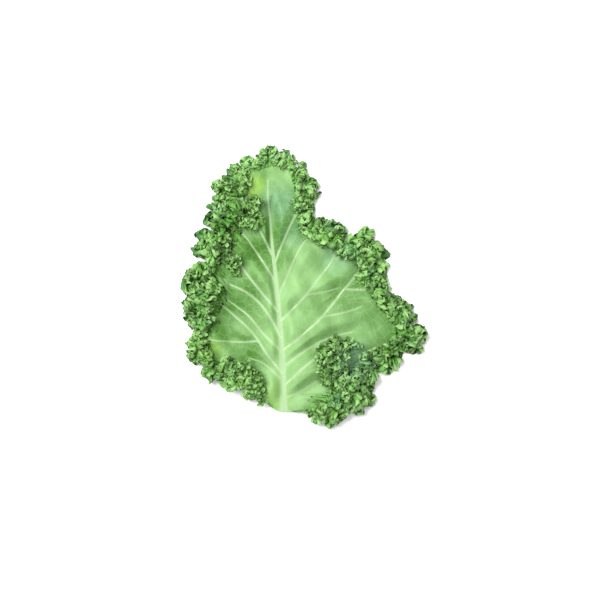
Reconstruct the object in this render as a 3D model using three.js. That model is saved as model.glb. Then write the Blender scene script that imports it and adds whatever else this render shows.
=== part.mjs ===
// A single leaf of curly kale, picked with its midrib cut just below the blade, lying face up.
//
// The leaf is one thin sheet. A thick midrib runs up it along +Y, side veins leave the midrib on
// both sides, and round the margin the sheet stands up and is gathered into deep frills, because
// the margin has grown longer than the outline that it follows. The frills are the sheet itself,
// thrown into folds that swing in and out and deepen towards the edge.
//
// Lengths are in millimetres, +Z is up, and the face of the leaf looks up. The surface that the
// leaf lies on is z = 0, and the origin is on it, under the middle of the leaf's box.
import * as THREE from "three";

// Driving dimensions of the blade and its veins
const BLADE_THICKNESS = 0.8;
const MIDRIB_LENGTH = 186; // from the cut to where it fades near the tip
const MIDRIB_CUT_Y = -110;
const RIB_HALF_WIDTH = 4.2; // of the midrib at the cut
const RIB_TIP_HALF_WIDTH = 1.2;
const RIB_DEPTH = 5.2; // how far the midrib stands out below the blade at the cut
const RIB_TIP_DEPTH = 1.0;
const RIB_CROWN = 0.7; // how far it stands out above the blade at the cut
const VEIN_DEPTH = 1.5; // of a side vein below the blade, where it leaves the midrib
const VEIN_CROWN = 0.4;
const VEIN_BOW = 0.05; // sideways bow of the lines that run out to the margin, share of their length
const PUFF = 1.4; // how far the blade swells between two side veins

// Driving dimensions of the frill
const FOOT_HEIGHT = 0; // of the underside where the frill starts, clear of the midrib
const FRILL_SHARE = 0.857; // width of the frilled band of the sheet, as a share of the frill as seen
const MARGIN_INSET = 0.14; // of the margin, pressed out flat, inside the frill's outer edge
const FRILL_RUN = 0.66; // reach of the standing frill, as a share of the frilled band's width
const FRILL_SLOPES = [10, 60, 84]; // degrees, at the frill's foot, its middle and its edge
const MIDDLE = 0.5; // where the middle is, as a share of the band's width
const LIFT_SHARE = 0.5; // height of the standing frill as a share of its band's width, when narrow
const MOST_LIFT = 24;
const LEAST_SLANT = 0.4; // sine of the angle at which a line is taken to cross the frill, at least

// The frill as seen from straight above, in pixels of the picture. Each row is a place along the
// leaf, from 0 at the cut to 1 at the tip, then the x and y of the frill's outer edge there and of
// its inner edge, where the open blade shows.
const PIXEL_MM = 0.9; // size of a pixel at the leaf
const PIXEL_ORIGIN = [303, 288.5]; // the pixel over the drawn leaf's origin
const LEFT_FRILL = [
  [0.0, 277, 411, 278, 408],
  [0.03, 268, 408, 272, 398],
  [0.06, 257, 407, 269, 382],
  [0.1, 241, 402, 260, 364],
  [0.14, 226, 388, 247, 356],
  [0.19, 209, 378, 229, 348],
  [0.25, 190, 369, 215, 340],
  [0.31, 184, 350, 212, 338],
  [0.38, 182, 324, 216, 324],
  [0.45, 177, 298, 222, 300],
  [0.52, 179, 272, 233, 281],
  [0.58, 183, 250, 232, 256],
  [0.64, 188, 226, 238, 244],
  [0.71, 198, 203, 253, 233],
  [0.78, 213, 183, 256, 214],
  [0.85, 232, 165, 260, 198],
  [0.92, 255, 152, 270, 189],
  [1.0, 281, 147, 285, 188],
];
const RIGHT_FRILL = [
  [0.0, 291, 411, 291, 409],
  [0.02, 296, 413, 295, 410],
  [0.05, 306, 415.5, 305, 409],
  [0.09, 328, 425, 321, 403],
  [0.13, 350, 429, 325, 380],
  [0.17, 373, 415, 333, 376],
  [0.22, 379, 397, 340, 364],
  [0.27, 385, 384, 351, 354],
  [0.31, 395, 373, 363, 347],
  [0.35, 409, 360, 376, 341],
  [0.39, 427, 343, 388, 334],
  [0.43, 427, 321, 389, 325],
  [0.47, 412, 305, 382, 315],
  [0.505, 402, 296, 374, 306],
  [0.54, 395, 286, 366, 297],
  [0.575, 389, 272, 361, 286],
  [0.62, 390, 256, 357, 274],
  [0.675, 375, 237, 345, 268],
  [0.735, 352, 225, 333, 257],
  [0.8, 330, 219, 310, 244],
  [0.86, 314, 204, 291, 219],
  [0.905, 316, 183, 288, 203],
  [0.95, 299, 156, 289, 191],
  [1.0, 281, 147, 285, 188],
];
// The midrib's x, by share of its length.
const MIDRIB_X = [
  [0.0, -17],
  [0.34, -19.5],
  [0.62, -24],
  [0.85, -28.5],
  [1.0, -29],
];
// How far up the midrib, as a share of its length, the line to each place on the margin starts.
const LINE_STARTS = [
  [0.0, 0],
  [0.05, 0.03],
  [0.1, 0.055],
  [0.25, 0.115],
  [0.5, 0.22],
  [0.6, 0.37],
  [0.7, 0.59],
  [0.8, 0.8],
  [0.9, 0.95],
  [1.0, 1],
];
// The places on the margin that the side veins run to.
const LEFT_VEINS = [0.1, 0.24, 0.36, 0.45, 0.52, 0.58, 0.65, 0.72, 0.8, 0.9];
const RIGHT_VEINS = [0.1, 0.22, 0.31, 0.4, 0.5, 0.61, 0.71, 0.8, 0.9];

// The folds that the frill is thrown into: their length along the margin where the frilled band is
// wide and where it is narrow, their height as a share of the band's width and at most, the share of
// the band where they start, how fast they grow towards the edge, how far their sides lean over, and
// how much their height, spacing and lean wander.
const FOLDS = {
  wave: 27,
  narrow: 20,
  share: 0.3,
  most: 16,
  start: 0,
  growth: 1.6,
  overhang: 0.05,
  vary: 0.2,
  jitter: 0.6,
  lean: 0.15,
};
const BROAD_BAND = [10, 45]; // widths of the frilled band over which the folds lengthen
const WAVELESS = 0.12; // the folds come in over this share of the leaf, up from the cut
const SEED = 7;

// Sampling: a fine grid holds the sheet, and the mesh keeps some of its rows and columns
const FINE_SIDE = 2048; // columns of the fine grid on each side of the leaf
const FINE_FRILL = 24; // rows of the fine grid across the frill
const BLADE_COLUMNS = 64; // columns of the mesh on each side, in the blade
const RIB_SHARES = [0, 0.6, 1]; // rows between the midrib's centre and its edge
const BLADE_SHARES = [0.3, 0.62, 1]; // rows between the midrib's edge and the frill's foot
const FRILL_ROWS = [6, 12, 16, 20, 24]; // fine rows that the mesh keeps
const FRILL_DENSITY = [2, 2, 4, 4, 4]; // columns there, as multiples of the blade's
const FOOT_ROW = RIB_SHARES.length + BLADE_SHARES.length - 1;
const FLAT_ROWS = 2; // rows whose underside is the flat strip along the midrib
const FLOOR_SOFTNESS = 0.5;

const { clamp, degToRad, lerp } = THREE.MathUtils;

function smooth(low, high, x) {
  return THREE.MathUtils.smoothstep(x, low, high);
}

// Random numbers from 0 to 1 that come out the same each time.
class Draws {
  constructor(seed) {
    this.state = seed;
  }

  next() {
    this.state = (this.state * 1664525 + 1013904223) % 4294967296;
    return this.state / 4294967296;
  }
}

// Smooth noise of about unit size along a length, made of five sine waves.
function wanderer(wavelength, seed) {
  const draws = new Draws(seed);
  const waves = Array.from({ length: 5 }, (_, k) => {
    const pitch = (0.45 + 0.35 * k + 0.3 * draws.next()) / wavelength;
    return { pitch, phase: draws.next() };
  });
  const scale = 1 / (1.6 * Math.sqrt(2.5));
  return (x) => scale * waves.reduce((sum, w) => sum + Math.sin(2 * Math.PI * (x * w.pitch + w.phase)), 0);
}

// A smooth curve through rows of [place, value, value, ...], read at one column.
function curveThrough(rows, column) {
  const at = rows.map((row) => row[0]);
  const value = rows.map((row) => row[column]);
  const last = rows.length - 1;
  const slope = value.map((_, i) => {
    const before = Math.max(0, i - 1);
    const after = Math.min(last, i + 1);
    return (value[after] - value[before]) / (at[after] - at[before]);
  });
  return (x) => {
    let i = 0;
    while (i < last - 1 && x >= at[i + 1]) i++;
    const h = at[i + 1] - at[i];
    const w = (x - at[i]) / h;
    const w2 = w * w;
    const w3 = w2 * w;
    const ends = (2 * w3 - 3 * w2 + 1) * value[i] + (3 * w2 - 2 * w3) * value[i + 1];
    return ends + h * ((w3 - 2 * w2 + w) * slope[i] + (w3 - w2) * slope[i + 1]);
  };
}

// The sheet's margin, as it would lie with the frill pressed out flat, from one row of the frill as
// seen: the place, the margin's x and y, the width of the frilled band and the frill's height.
function marginRow([place, outerX, outerY, innerX, innerY]) {
  const [originX, originY] = PIXEL_ORIGIN;
  const outer = new THREE.Vector2(outerX - originX, originY - outerY).multiplyScalar(PIXEL_MM);
  const inner = new THREE.Vector2(innerX - originX, originY - innerY).multiplyScalar(PIXEL_MM);
  const width = FRILL_SHARE * outer.distanceTo(inner);
  const lift = MOST_LIFT * (1 - Math.exp((-LIFT_SHARE * width) / MOST_LIFT)) * smooth(2, 16, width);
  const margin = outer.lerp(inner, MARGIN_INSET);
  return [place, margin.x, margin.y, width, lift];
}

// The whole margin as one smooth curve: places run from 0 at the cut, up the left side to 1 at the
// tip, and down the right side to 2 at the cut again.
const RIGHT_ONWARD = RIGHT_FRILL.slice(0, -1).reverse();
const MARGIN = [...LEFT_FRILL, ...RIGHT_ONWARD.map(([place, ...rest]) => [2 - place, ...rest])].map(marginRow);
const marginX = curveThrough(MARGIN, 1);
const marginY = curveThrough(MARGIN, 2);
const frillWidth = curveThrough(MARGIN, 3);
const frillLift = curveThrough(MARGIN, 4);
const marginPoint = (place) => new THREE.Vector3(marginX(place), marginY(place), 0);

const midribX = curveThrough(MIDRIB_X, 1);
const midribPoint = (share) => new THREE.Vector3(midribX(share), MIDRIB_CUT_Y + share * MIDRIB_LENGTH, 0);
const lineStart = curveThrough(LINE_STARTS, 1);
const ribHalfWidth = (share) => lerp(RIB_HALF_WIDTH, RIB_TIP_HALF_WIDTH, share);
const ribDepth = (share) => lerp(RIB_DEPTH, RIB_TIP_DEPTH, share);

// The unit direction of a plane curve at one parameter.
function heading(curve, at, step) {
  return curve(at + step)
    .sub(curve(at - step))
    .normalize();
}

// The line of one place: it leaves the midrib's edge, square to the midrib all the way up and
// fanning round its end, and runs to the margin.
function lineTo(place) {
  const side = place <= 1 ? -1 : 1;
  const nearness = Math.min(place, 2 - place);
  const share = lineStart(nearness);
  const root = midribPoint(share);
  const edge = marginPoint(place);
  const forward = heading(midribPoint, share, 0.01);
  const sideways = new THREE.Vector3(forward.y, -forward.x, 0).multiplyScalar(side);
  const outward = edge.clone().sub(root).normalize();
  const atTip = smooth(0.8, 1, nearness);
  const ribEdge = sideways.lerp(outward, atTip).setLength(ribHalfWidth(share)).add(root);
  const along = edge.clone().sub(ribEdge);
  const length = along.length();
  along.normalize();
  const tangent = heading(marginPoint, place, 0.005);
  const slant = Math.max(along.clone().cross(tangent).length(), LEAST_SLANT);
  const frill = Math.min(frillWidth(place) / slant, 0.85 * length);
  return {
    place: nearness,
    share,
    side,
    root,
    ribEdge,
    along,
    across: new THREE.Vector3(-along.y, along.x, 0).multiplyScalar(side * (1 - atTip)),
    length,
    foot: length - frill,
    frill,
    frillDepth: frill * slant,
    lift: frillLift(place),
  };
}

// 0 on a side vein and 1 halfway between two.
function betweenVeins(line) {
  const marks = [0, ...(line.side < 0 ? LEFT_VEINS : RIGHT_VEINS), 1];
  let i = 0;
  while (i < marks.length - 2 && line.place >= marks[i + 1]) i++;
  return Math.sin((Math.PI * (line.place - marks[i])) / (marks[i + 1] - marks[i])) ** 2;
}

// Height of the blade's middle surface at a distance from the midrib's edge: it comes down off the
// midrib to lie on its frill's foot, and swells between the side veins.
function bladeHeight(line, distance) {
  const rib = ribDepth(line.share);
  const foot = lerp(rib, FOOT_HEIGHT, smooth(4, 50, line.foot));
  const drop = smooth(0, Math.max(line.foot, 1), distance);
  const swell = PUFF * betweenVeins(line) * smooth(0, 20, distance);
  return BLADE_THICKNESS / 2 + lerp(rib, foot, drop) + swell;
}

// A point on one line, at a distance from the midrib's edge.
function onLine(line, distance, height) {
  const bow = VEIN_BOW * line.length * Math.sin(Math.PI * clamp(distance / line.length, 0, 1));
  return line.ribEdge
    .clone()
    .addScaledVector(line.along, distance)
    .addScaledVector(line.across, bow)
    .setZ(bladeHeight(line, distance) + height);
}

// The standing frill's cross-section: its run and rise at each fine row, both from 0 to 1.
function frillProfile() {
  const steps = 400;
  const [foot, middle, edge] = FRILL_SLOPES;
  const points = [{ run: 0, rise: 0 }];
  for (let i = 0; i < steps; i++) {
    const q = (i + 0.5) / steps;
    const slope = q < MIDDLE ? lerp(foot, middle, smooth(0, MIDDLE, q)) : lerp(middle, edge, smooth(MIDDLE, 1, q));
    const { run, rise } = points[i];
    points.push({ run: run + Math.cos(degToRad(slope)), rise: rise + Math.sin(degToRad(slope)) });
  }
  const end = points[steps];
  return Array.from({ length: FINE_FRILL + 1 }, (_, j) => {
    const point = points[Math.round((j * steps) / FINE_FRILL)];
    return { run: point.run / end.run, rise: point.rise / end.rise };
  });
}

// The sheet before it is folded, column by column: the midrib's rows, the blade's and the frill's.
function smoothSheet(lines) {
  const profile = frillProfile();
  return lines.map((line) => {
    const level = bladeHeight(line, 0);
    const rib = RIB_SHARES.map((share) => line.root.clone().lerp(line.ribEdge, share).setZ(level));
    const blade = BLADE_SHARES.map((share) => onLine(line, share * line.foot, 0));
    const frill = profile
      .slice(1)
      .map(({ run, rise }) => onLine(line, line.foot + FRILL_RUN * line.frill * run, line.lift * rise));
    return [...rib, ...blade, ...frill];
  });
}

// Length along the margin up to each column.
function marginLengths(sheet) {
  const lengths = [0];
  for (let i = 1; i < sheet.length; i++)
    lengths.push(lengths[i - 1] + sheet[i].at(-1).distanceTo(sheet[i - 1].at(-1)));
  return lengths;
}

// The directions along the margin, out to the edge, and square to the sheet, at one grid point.
function directions(sheet, i, j) {
  const before = sheet[Math.max(0, i - 1)][j];
  const after = sheet[Math.min(sheet.length - 1, i + 1)][j];
  const inner = sheet[i][Math.max(0, j - 1)];
  const outer = sheet[i][Math.min(sheet[i].length - 1, j + 1)];
  const round = after.clone().sub(before).normalize();
  const out = outer.clone().sub(inner).normalize();
  return { round, out, square: out.clone().cross(round).normalize() };
}

// The sheet with its frill thrown into folds, square to the sheet as it stood.
function gather(sheet, lines, folds) {
  const lengths = marginLengths(sheet);
  const spacing = wanderer(folds.wave * 2.3, SEED);
  const leaning = wanderer(folds.wave * 1.7, SEED + 5);
  const sizing = wanderer(folds.wave * 1.9, SEED + 9);
  let turns = 0;
  return sheet.map((column, i) => {
    const along = lengths[i];
    const wave = lerp(folds.narrow, folds.wave, smooth(...BROAD_BAND, lines[i].frillDepth));
    if (i > 0) turns += (along - lengths[i - 1]) / wave;
    const turn = 2 * Math.PI * turns + folds.jitter * spacing(along);
    const lean = folds.lean * leaning(along);
    const reach = Math.min(folds.share * lines[i].frillDepth, folds.most);
    const height = reach * (1 + folds.vary * sizing(along)) * smooth(0, WAVELESS, lines[i].place);
    return column.map((point, j) => {
      const q = Math.max(0, j - FOOT_ROW) / FINE_FRILL;
      if (q <= folds.start) return point.clone();
      const size = height * ((q - folds.start) / (1 - folds.start)) ** folds.growth;
      const { round, out, square } = directions(sheet, i, j);
      const push = square.multiplyScalar(Math.cos(lean)).addScaledVector(out, Math.sin(lean)).normalize();
      return point
        .clone()
        .addScaledVector(push, size * Math.sin(turn))
        .addScaledVector(round, -folds.overhang * size * Math.sin(2 * turn));
    });
  });
}

// Eases whatever would hang below the surface that the leaf lies on back onto it.
function settle(sheet) {
  const floor = BLADE_THICKNESS / 2;
  for (const point of sheet.flat()) {
    const low = (point.z - floor) / FLOOR_SOFTNESS;
    if (low < 12) point.z = floor + FLOOR_SOFTNESS * Math.log1p(Math.exp(low));
  }
}

// Fine columns of one side at even steps along the folded margin, the same for both sides.
function evenColumns(sheet, count) {
  const lengths = marginLengths(sheet);
  const whole = lengths.at(-1);
  const left = lengths[FINE_SIDE];
  const share = (i) => (lengths[i] / left + (whole - lengths[2 * FINE_SIDE - i]) / (whole - left)) / 2;
  const columns = [];
  for (let k = 0, i = 0; k <= count; k++) {
    while (i < FINE_SIDE && share(i) < k / count) i++;
    columns.push(i);
  }
  return columns;
}

// The fine columns, of the mesh's in the blade, that lie nearest to the side veins.
function veinColumns(columns) {
  const nearest = (target) =>
    columns.reduce((best, i) => (Math.abs(i - target) < Math.abs(best - target) ? i : best));
  return new Set([
    ...LEFT_VEINS.map((place) => nearest(place * FINE_SIDE)),
    ...RIGHT_VEINS.map((place) => nearest((2 - place) * FINE_SIDE)),
  ]);
}

// Quads between two rows with as many columns, cut along alternating diagonals.
function joinEven(inner, outer) {
  return inner.slice(1).flatMap((e, c) => {
    const [a, b, d] = [inner[c], outer[c], outer[c + 1]];
    return c % 2
      ? [[a, d, b], [a, e, d]]
      : [[a, e, b], [b, e, d]];
  });
}

// Three triangles for each column between a row and one with twice as many columns.
function joinDoubled(inner, outer) {
  return inner.slice(1).flatMap((e, c) => {
    const [a, b, mid, d] = [inner[c], outer[2 * c], outer[2 * c + 1], outer[2 * c + 2]];
    return [[a, mid, b], [a, e, mid], [mid, e, d]];
  });
}

// The leaf's middle surface: its points, each with its line, row and fine column, and its
// triangles. The points on the midrib's centre line are shared by the two sides.
function middleSurface(sheet, lines, columns) {
  const points = [];
  const finest = columns.length - 1;
  const rowOf = (fine, row, count) => {
    const ids = Array.from({ length: 2 * count + 1 }, (_, c) => {
      if (row === 0 && c > count) return -1;
      const pick = columns[(c <= count ? c : 2 * count - c) * (finest / count)];
      const column = c <= count ? pick : 2 * FINE_SIDE - pick;
      points.push({ at: sheet[column][fine], line: lines[column], row, column, normal: new THREE.Vector3() });
      return points.length - 1;
    });
    return ids.map((id, c) => (id < 0 ? ids[2 * count - c] : id));
  };
  const rows = [];
  for (let j = 0; j <= FOOT_ROW; j++) rows.push(rowOf(j, j, BLADE_COLUMNS));
  FRILL_ROWS.forEach((fine, k) =>
    rows.push(rowOf(FOOT_ROW + fine, FOOT_ROW + 1 + k, BLADE_COLUMNS * FRILL_DENSITY[k])),
  );
  const triangles = rows.slice(1).flatMap((outer, row) => {
    const inner = rows[row];
    return inner.length === outer.length ? joinEven(inner, outer) : joinDoubled(inner, outer);
  });
  return { points, triangles };
}

// Gives every point of the middle surface the mean direction of the triangles round it.
function setNormals({ points, triangles }) {
  const edge = new THREE.Vector3();
  for (const [a, b, c] of triangles) {
    const from = points[a].at;
    const square = points[b].at.clone().sub(from).cross(edge.subVectors(points[c].at, from));
    for (const id of [a, b, c]) points[id].normal.add(square);
  }
  for (const point of points) point.normal.normalize();
}

// How far the leaf's face and its back lie from its middle surface at one point.
function standOut({ line, row, column }, veins) {
  const half = BLADE_THICKNESS / 2;
  if (row < FLAT_ROWS) {
    const crown = RIB_CROWN * Math.sqrt(1 - line.share) * (row === 0 ? 1 : 0.8);
    return { face: half + crown, back: half + ribDepth(line.share) };
  }
  if (row > FOOT_ROW || !veins.has(column)) return { face: half, back: half };
  const fade = 1 - (row - FLAT_ROWS) / (FOOT_ROW + 1 - FLAT_ROWS);
  return { face: half + VEIN_CROWN * fade, back: half + VEIN_DEPTH * fade };
}

// A point's place on the leaf's face or its back. The midrib stands straight up and down, and its
// underside is a flat strip on the surface that the leaf lies on.
function surfacePoint(point, veins, isFace) {
  const { face, back } = standOut(point, veins);
  const flat = point.row < FLAT_ROWS;
  const normal = flat ? new THREE.Vector3(0, 0, 1) : point.normal;
  const at = point.at.clone().addScaledVector(normal, isFace ? face : -back);
  if (!isFace) at.z = flat ? 0 : Math.max(0, at.z);
  return at.toArray();
}

// A closed solid of the leaf: its face, its back with the same triangles turned over, and the rim
// that joins them round the margin.
function leafGeometry() {
  const lines = Array.from({ length: 2 * FINE_SIDE + 1 }, (_, i) => lineTo(i / FINE_SIDE));
  const sheet = gather(smoothSheet(lines), lines, FOLDS);
  settle(sheet);
  const columns = evenColumns(sheet, BLADE_COLUMNS * Math.max(...FRILL_DENSITY));
  const surface = middleSurface(sheet, lines, columns);
  setNormals(surface);

  const step = columns.length - 1;
  const bladeColumns = columns.filter((_, k) => k % (step / BLADE_COLUMNS) === 0);
  const veins = veinColumns([...bladeColumns, ...bladeColumns.map((i) => 2 * FINE_SIDE - i)]);
  const faceAndBack = [true, false].flatMap((isFace) =>
    surface.points.flatMap((point) => surfacePoint(point, veins, isFace)),
  );
  const back = surface.points.length;
  const triangles = surface.triangles.flatMap(([a, b, c]) => [a, b, c, back + a, back + c, back + b]);
  const sides = surface.triangles.flatMap(([a, b, c]) => [[a, b], [b, c], [c, a]]);
  const known = new Set(sides.map(([p, q]) => `${p} ${q}`));
  const rim = sides.filter(([p, q]) => !known.has(`${q} ${p}`));
  const rimTriangles = rim.flatMap(([p, q]) => [p, back + p, q, q, back + p, back + q]);

  const geometry = new THREE.BufferGeometry();
  geometry.setAttribute("position", new THREE.Float32BufferAttribute(faceAndBack, 3));
  geometry.setIndex([...triangles, ...rimTriangles]);
  geometry.computeBoundingBox();
  const middle = geometry.boundingBox.getCenter(new THREE.Vector3());
  geometry.translate(-middle.x, -middle.y, 0);
  geometry.computeVertexNormals();
  return geometry;
}

const leafGreen = new THREE.MeshStandardMaterial({ color: 0x6f9c55, roughness: 0.5, metalness: 0 });

function kaleLeaf() {
  const leaf = new THREE.Mesh(leafGeometry(), leafGreen);
  leaf.name = "kale_leaf";
  return leaf;
}

const group = new THREE.Group();
group.add(kaleLeaf());
export default group;
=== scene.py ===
"""A single leaf of curly kale, lying face up on a pale floor, seen from straight above.

The leaf is one thin sheet. A thick pale midrib runs up it, side veins leave the midrib on both
sides, and round the margin the sheet stands up and is gathered into deep frills, waves on waves.
The blade, the frill, the ruffles that fold back over the blade, the midrib and the side veins are
separate pieces that stand together for the leaf's solid. Places read from the picture are in its
pixels. Other sizes are in millimetres unless they say otherwise, on the leaf as it was drawn, whose
box is then centred over the origin.
"""

import logging
import math
from dataclasses import dataclass, field
from enum import Enum
from typing import Any, Callable

import bpy
import numpy as np
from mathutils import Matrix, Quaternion
from mathutils.kdtree import KDTree


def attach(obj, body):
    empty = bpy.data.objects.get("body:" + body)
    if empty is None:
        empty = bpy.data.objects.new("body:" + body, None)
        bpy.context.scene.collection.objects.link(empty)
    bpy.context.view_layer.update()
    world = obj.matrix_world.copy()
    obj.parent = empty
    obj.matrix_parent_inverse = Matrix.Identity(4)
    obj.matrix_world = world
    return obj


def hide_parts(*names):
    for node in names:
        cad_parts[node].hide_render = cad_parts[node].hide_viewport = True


LOG = logging.getLogger("kale")
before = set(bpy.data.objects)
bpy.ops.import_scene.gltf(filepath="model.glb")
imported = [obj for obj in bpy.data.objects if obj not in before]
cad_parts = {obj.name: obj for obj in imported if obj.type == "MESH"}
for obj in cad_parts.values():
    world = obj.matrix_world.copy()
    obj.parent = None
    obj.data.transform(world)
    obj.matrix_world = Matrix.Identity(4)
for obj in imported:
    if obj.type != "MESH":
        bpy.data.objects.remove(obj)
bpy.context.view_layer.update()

LEAF_NODE = "kale_leaf"
BODY = "root"

Numbers = float | np.ndarray

MM = 0.001
LEAF_MIDDLE = (0.22049, 2.79239)  # of the drawn leaf's box, which is centred over the origin

PIXEL_MM = 0.9  # size of a pixel of the picture at the leaf
PIXEL_ORIGIN = (303.0, 288.5)  # pixel over the drawn leaf's origin
PICTURE_CENTRE = (300.0, 300.0)

# The frill as seen from straight above, in pixels of the picture. Each row is a place along the
# leaf, from 0 at the cut to 1 at the tip, then the x and y of the frill's outer edge there and of
# its inner edge, where the open blade shows.
LEFT_FRILL = (
    (0.0, 277, 411, 278, 408),
    (0.03, 268, 408, 272, 398),
    (0.06, 257, 407, 269, 382),
    (0.1, 241, 402, 260, 364),
    (0.14, 226, 388, 247, 356),
    (0.19, 209, 378, 229, 348),
    (0.25, 190, 369, 215, 340),
    (0.31, 184, 350, 212, 338),
    (0.38, 182, 324, 216, 324),
    (0.45, 177, 298, 222, 300),
    (0.52, 179, 272, 233, 281),
    (0.58, 183, 250, 232, 256),
    (0.64, 188, 226, 239, 244),
    (0.71, 198, 203, 252, 232),
    (0.78, 213, 183, 253, 212),
    (0.85, 232, 165, 246, 182),
    (0.92, 255, 152, 263, 172),
    (1.0, 281, 147, 283, 170),
)
RIGHT_FRILL = (
    (0.0, 291, 411, 291, 409),
    (0.02, 296, 413, 295, 410),
    (0.05, 306, 415.5, 305, 409),
    (0.09, 328, 425, 321, 403),
    (0.13, 350, 426, 325, 380),
    (0.17, 372, 413, 333, 376),
    (0.22, 379, 397, 340, 364),
    (0.27, 385, 384, 351, 354),
    (0.31, 395, 373, 363, 347),
    (0.35, 409, 360, 376, 341),
    (0.39, 426, 342, 388, 334),
    (0.43, 426, 321, 389, 325),
    (0.47, 412, 305, 382, 315),
    (0.505, 402, 296, 374, 306),
    (0.54, 395, 286, 366, 297),
    (0.575, 389, 272, 361, 286),
    (0.62, 390, 256, 357, 274),
    (0.675, 375, 237, 345, 268),
    (0.735, 352, 225, 333, 257),
    (0.8, 330, 219, 310, 244),
    (0.86, 314, 204, 293, 217),
    (0.905, 316, 183, 293, 196),
    (0.95, 299, 156, 291, 177),
    (1.0, 281, 147, 283, 170),
)
FRILL_SHARE = 0.857  # width of the frilled band of the sheet, as a share of the frill as seen
MARGIN_INSET = 0.16  # of the sheet's margin, pressed out flat, inside the frill's outer edge
LIFT_SHARE = 0.34  # height of the standing frill, as a share of its band's width, in narrow bands
MOST_LIFT = 24.0
STANDING_BAND = (2.0, 16.0)  # band widths between which the frill comes to stand at all
# The midrib's x, by share of its length.
MIDRIB_X = ((0.0, -17), (0.34, -19.5), (0.62, -24), (0.85, -28.5), (1.0, -29))
# How far up the midrib, as a share of its length, the line to each place on the margin starts.
LINE_STARTS = (
    (0.0, 0),
    (0.05, 0.03),
    (0.1, 0.055),
    (0.25, 0.115),
    (0.5, 0.22),
    (0.6, 0.37),
    (0.7, 0.59),
    (0.8, 0.8),
    (0.9, 0.95),
    (1.0, 1),
)

# The side veins as pixels of the picture, from the midrib outwards, each after its half width in
# millimetres where it starts.
SIDE_VEINS = (
    (0.9, ((285, 398), (300, 391), (322, 378), (340, 372))),
    (1.0, ((285, 385), (304, 367), (328, 350), (346, 345))),
    (0.9, ((284, 366), (306, 350), (328, 338), (352, 332))),
    (1.3, ((284, 350), (318, 321), (343, 291), (362, 266), (374, 246))),
    (0.6, ((322, 317), (346, 312), (362, 306))),
    (0.6, ((345, 289), (362, 290), (376, 292))),
    (1.1, ((281, 321), (305, 296), (322, 274), (330, 264), (338, 246))),
    (0.5, ((306, 295), (324, 292), (338, 288))),
    (1.0, ((277, 299), (286, 279), (294, 260), (306, 238))),
    (0.8, ((274, 266), (282, 244), (292, 222), (303, 200))),
    (0.9, ((284, 384), (274, 372), (262, 362), (250, 358))),
    (1.1, ((283, 374), (267, 354), (253, 333), (236, 317), (221, 304), (205, 294))),
    (0.6, ((258, 341), (238, 342), (222, 341), (206, 340))),
    (0.9, ((282, 352), (263, 333), (250, 317), (236, 306), (223, 296))),
    (1.1, ((281, 338), (267, 312), (252, 296), (236, 287), (216, 280))),
    (1.0, ((278, 312), (259, 289), (244, 270), (232, 251), (220, 236))),
    (0.8, ((275, 282), (263, 262), (250, 243), (238, 226))),
    (0.7, ((272, 255), (262, 234), (252, 214), (244, 196))),
    (0.6, ((271, 240), (270, 220), (268, 200), (268, 180))),
)

# Patches of the leaf that differ in colour: the pixel of their middle, their radius in millimetres
# and their strength. The first are bluish, the next are painted shade, a deeper green where less
# light falls on the leaf, and the last a yellow green.
BLOOM_PATCHES = (
    (335, 260, 16, 0.8),
    (352, 362, 24, 1.0),
    (279, 203, 20, 0.8),
    (292, 235, 14, 0.5),
    (350, 255, 14, 0.6),
)
# Painted shade: the leaf is drawn a deeper green where less light falls on it.
SHADE_PATCHES = (
    (238, 300, 34, 1.0),
    (262, 240, 34, 0.9),
    (290, 212, 34, 1.0),
    (246, 352, 22, 0.8),
    (345, 285, 26, 0.5),
    (385, 320, 24, 0.7),
    (196, 310, 56, 1.0),
    (222, 215, 52, 1.0),
    (408, 340, 26, 0.8),
)
BRIGHT_PATCHES = (
    (254, 186, 13, 0.9),
    (278, 396, 16, 0.4),
    (212, 350, 14, 0.5),
)
PATCH_FADE = (0.3, 1.2)  # shares of a patch's radius between which it fades

# Ruffles of the frill that fold back over the blade: their width in millimetres, then the pixels
# of their feet, with the side that they lean to on the left.
TUFTS = (
    (16, ((240, 202), (243, 211), (252, 218), (263, 221))),
    (17, ((232, 178), (222, 196), (222, 214), (229, 228), (237, 235))),
    (15, ((222, 238), (218, 252), (224, 268), (236, 279))),
    (16, ((348, 384), (336, 373), (333, 360), (338, 349), (350, 342))),
    (16, ((232, 222), (243, 229), (255, 231), (266, 227))),
    (14, ((227, 361), (237, 370), (246, 381), (254, 393), (262, 403))),
    (18, ((362, 392), (351, 380), (348, 366), (353, 354), (364, 347))),
)


class Pass(Enum):
    """The sets of waves that the frill is thrown into, from the broadest."""

    FOLDS = 0
    CURLS = 1
    RUFFLES = 2


@dataclass(frozen=True)
class Waves:
    """One set of waves along the margin.

    Attributes:
        wave: Length along the margin as the earlier waves leave it, in millimetres, where the
            frilled band is wide.
        narrow: The same where the band is narrow.
        share: Height as a share of the frilled band's width.
        most: The most height, in millimetres.
        start: Share of the band where the waves start.
        growth: How fast the waves grow towards the edge.
        overhang: How far their sides lean over.
        vary: How much the height wanders.
        jitter: How much the spacing wanders.
        lean: How much the lean wanders.
        twist: How far the creases wind on their way to the edge, in radians of the wave.
    """

    wave: float
    narrow: float
    share: float
    most: float
    start: float
    growth: float
    overhang: float
    vary: float
    jitter: float
    lean: float
    twist: float


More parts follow.
